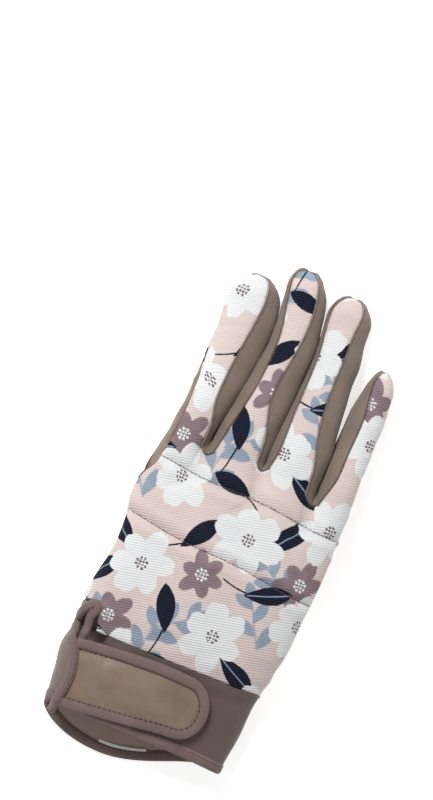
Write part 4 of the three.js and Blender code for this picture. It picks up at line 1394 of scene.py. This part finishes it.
def build_strap():
    """The strap's leather, the tape round it, and its row of sewing."""
    along, across = spread(110)[:, None], np.linspace(-1, 1, 57)[None]
    middle, half = strap_edge(along)
    half = np.maximum(half - STRAP_BORDER, 0.3)
    x = strap_x(along * (1 - STRAP_BORDER / STRAP_LENGTH), across)
    y = middle + half * across
    patch = Patch(strap_surface(x, y, -STRAP_THICKNESS), strap_surface(x, y, 0.0))
    edge = half * (1 - np.abs(across))
    swell = 0.5 + 0.40 * waves(x, y * 0.35, 15, 88) + 0.10 * waves(x, y * 0.7, 6, 89)
    patch.fields["weave"] = np.stack([x, y, edge], -1)
    patch.outer[..., 2] += swell * smooth(edge, 1.0, 6.5) - 0.25
    tongue = wall("strap_leather", [patch], HIDE)
    path = strap_outline(*STRAP_TAPE_PLACE)
    normal = np.tile([0.0, 0.0, 1.0], (len(path), 1))
    binding = tape("strap_edge_binding", path, normal, STRAP_TAPE_WIDTH, STRAP_TAPE_DEPTH, BAND)
    return tongue, binding, (strap_outline(*STRAP_ROW_PLACE), normal)


# Overlays on the palm side.
PAD_THICKNESS = 1.6
PAD_ROW_INSETS = (1.6, 3.4)
PAD_ROW_LEVEL = 1.7
TIP_OVERLAY_LENGTH = 25.0
TIP_OVERLAY_THICKNESS = 0.8
TIP_ROW_INSETS = (0.8, 3.2)
TIP_ROW_LEVEL = 0.95
CROTCH_PATCH_ENDS = (20, 43)
CROTCH_PATCH_MIDDLE = 31.5
CROTCH_PATCH_HALF = 12.2
CROTCH_PATCH_TURN = 331
CROTCH_PATCH_REACH = 22


def overlay(name, base, out, thickness):
    """A piece of leather laid on a grid, with soft rounded borders."""
    side, along = arc(base, 1), arc(base, 0)
    seam = np.minimum(nearer_end(side, 1), nearer_end(along, 0))
    pillow = thickness * dome(1 - np.clip(seam / (thickness * 1.6), 0, 1), 2)
    patch = Patch(base + out * (0.1 + pillow)[..., None], base + out * 0.05)
    patch.fields["weave"] = np.stack([side, along, seam], -1)
    return wall(name, [patch], HIDE)


def touch_tip(finger, name):
    """A fingertip's overlay and the two rows of sewing at its lower end."""
    length = finger.length - WEB_SLANT
    low = 1 - TIP_OVERLAY_LENGTH / length
    rows = lerp(low, 0.985, spread(40))[:, None]
    first, last = palm_span(finger, np.ones(1))
    angle = lerp(first[0] + 3, min(last[0], 334), spread(36))
    base = finger_point(finger, angle[None], rows)
    out = low_normals(base)
    runs = []
    for inset in TIP_ROW_INSETS:
        row = finger_point(finger, angle, low + inset / length) + out[1] * TIP_ROW_LEVEL
        runs.append((row, out[1]))
    return overlay(name, base, out, TIP_OVERLAY_THICKNESS), runs


def build_overlays():
    runs = []
    for finger, name, node in (
        (INDEX, "index_tip_overlay", "index_touch_tip"),
        (MIDDLE, "middle_tip_overlay", "middle_touch_tip"),
    ):
        piece, rows = touch_tip(finger, name)
        finish_piece(piece, "leather", node)
        runs += rows
    for name, node, ys, xs in (
        ("upper_palm_pad", "palm_pad_upper", (17, 46), (24, 46)),
        ("heel_palm_pad", "palm_pad_heel", (-29, 3), (9, 44)),
    ):
        base = palm_point(np.linspace(*xs, 36)[None], np.linspace(*ys, 40)[:, None])
        piece = overlay(name, base, low_normals(base), PAD_THICKNESS)
        finish_piece(piece, "leather", node)
        for inset in PAD_ROW_INSETS:
            x, y = (np.linspace(low + inset, high - inset, 40) for low, high in (xs, ys))
            for row in ((x, y[0]), (x, y[-1]), (x[0], y)):
                runs.append((palm_point(*row, -PAD_ROW_LEVEL), np.tile([0.0, 0.0, -1.0], (40, 1))))
    y = np.linspace(*CROTCH_PATCH_ENDS, 40)[:, None]
    off = (y - CROTCH_PATCH_MIDDLE) / CROTCH_PATCH_HALF
    reach = CROTCH_PATCH_REACH * np.sqrt(np.clip(1 - off ** 2, 0.02, 1))
    base = hand_point(CROTCH_PATCH_TURN + reach * np.linspace(-1, 1, 44)[None], y)
    out = low_normals(base, axis=0)
    finish_piece(overlay("crotch_reinforcement", base, out, 0.9), "leather", "crotch_patch")
    runs.append(((base + out)[:, 1], out[:, 1]))
    finish_piece(stitches("palm_stitching", runs, TONAL, *PALM_STITCH), "leather")


def fold_stitch_run(back, fold):
    """Sewing along a flex line, laid on the finished back."""
    x = np.linspace(-37, 49, 240)
    points, found = [], []
    for start in place(np.stack([x, fold_line(fold, x), np.full(len(x), 60.0)], -1)):
        hit, where, normal, _ = back.ray_cast(Vector(start), Vector((0, 0, -1)))
        if hit:
            points.append(np.array(where) / MM - shift)
            found.append(np.array(normal))
    return np.array(points), np.array(found)


def build_glove():
    back = finish_piece(build_back(), "print_fabric", "back_panel")
    finish_piece(build_palm(), "leather", "palm_panel")
    for name, node, near, far in (
        ("gusset_index_middle", "fourchette_index_middle", INDEX, MIDDLE),
        ("gusset_middle_ring", "fourchette_middle_ring", MIDDLE, RING),
        ("gusset_ring_little", "fourchette_ring_little", RING, LITTLE),
    ):
        finish_piece(build_gusset(name, near, far), "elastic_rib", node)
    finish_piece(build_thumb("thumb_back_cloth", False, PRINT), "print_fabric", "thumb_back")
    finish_piece(build_thumb("thumb_front_leather", True, HIDE), "leather", "thumb_front")
    knit = build_cuff_part("cuff_knit_part", cuff_seam_angle, slit_edge, 150, KNIT, 51, 0.15)
    finish_piece(knit, "cuff_rib", "cuff_knit")
    cuff_back = build_cuff_part("cuff_back_part", hem_start, cuff_seam_angle, 170, CUFF_CLOTH, 52, 0.45)
    finish_piece(cuff_back, "smooth_knit", "cuff_back")
    hem, hem_runs = build_hem()
    finish_piece(hem, "binding_tape", "cuff_binding")
    slit, slit_run = build_slit()
    finish_piece(slit, "binding_tape", "slit_binding")
    finish_piece(stitches("cuff_stitching", [*hem_runs, slit_run], TONAL, *TAPE_STITCH), "binding_tape")
    strap, binding, strap_run = build_strap()
    finish_piece(strap, "leather", "wrist_strap")
    finish_piece(binding, "binding_tape", "strap_binding")
    finish_piece(stitches("strap_stitching", [strap_run], TONAL, *TAPE_STITCH), "binding_tape")
    finish_piece(build_label(), "label", "size_label")
    bpy.context.view_layer.update()
    fold_runs = [fold_stitch_run(back, fold) for fold in FOLDS]
    finish_piece(stitches("fold_stitching", fold_runs, PRINT_THREAD, *FOLD_STITCH), "print_fabric")
    build_overlays()


# The stage: a pale floor, soft studio light, and the camera square over the glove as in the photo, whose
# pixel at the plan's zero is the pivot.
PHOTO_SCALE = 0.43
PHOTO_TURN = 22.0
PHOTO_PIVOT = (205.0, 560.0)
PHOTO_SIZE = (433.0, 800.0)
CAMERA_HEIGHT = 2.0
SENSOR_WIDTH = 36.0
GLOVE_LEVEL = 0.018
FLOOR_GLOW = 0.62
STUDIO_LIGHT = 0.29
LIGHTS = [("key", (-0.65, 0.75, 1.25), 0.45, 21.0), ("fill", (0.7, -0.5, 1.5), 1.2, 4.0)]


def build_stage():
    bpy.context.scene.view_settings.view_transform = "Standard"
    bpy.ops.mesh.primitive_plane_add(size=6, location=(0, 0, -0.0002))
    floor = bpy.context.object
    floor.name = "floor"
    paint = Nodes("pale_floor", 0.9, FLOOR, Specular_IOR_Level=0.1, Emission_Strength=FLOOR_GLOW)
    paint.set("Emission Color", (1, 1, 1, 1))
    floor.data.materials.append(paint.material)
    world = bpy.data.worlds.new("studio")
    bpy.context.scene.world = world
    world.use_nodes = True
    background = world.node_tree.nodes["Background"]
    background.inputs["Color"].default_value = (1.0, 1.0, 1.0, 1)
    background.inputs["Strength"].default_value = STUDIO_LIGHT
    for name, place_at, size, power in LIGHTS:
        data = bpy.data.lights.new(name, "AREA")
        data.size = size
        data.energy = power
        lamp = bpy.data.objects.new(name, data)
        lamp.location = place_at
        lamp.rotation_euler = (-Vector(place_at)).to_track_quat("-Z", "Y").to_euler()
        bpy.context.scene.collection.objects.link(lamp)


def build_camera():
    turn = math.radians(PHOTO_TURN)
    du, dv = (size / 2 - pivot for size, pivot in zip(PHOTO_SIZE, PHOTO_PIVOT))
    centre = place([PHOTO_SCALE * (du * math.cos(turn) + dv * math.sin(turn)),
                    PHOTO_SCALE * (du * math.sin(turn) - dv * math.cos(turn)), 0.0])
    data = bpy.data.cameras.new("photo_camera")
    data.sensor_width = SENSOR_WIDTH
    data.lens = SENSOR_WIDTH * (CAMERA_HEIGHT - GLOVE_LEVEL) / (PHOTO_SIZE[1] * PHOTO_SCALE * MM)
    data.clip_end = 20
    camera = bpy.data.objects.new("photo_camera", data)
    camera.location = (centre[0], centre[1], CAMERA_HEIGHT)
    camera.rotation_euler = (0, 0, turn)
    bpy.context.scene.collection.objects.link(camera)
    bpy.context.scene.camera = camera


build_camera()
build_stage()
build_glove()
bpy.context.view_layer.update()
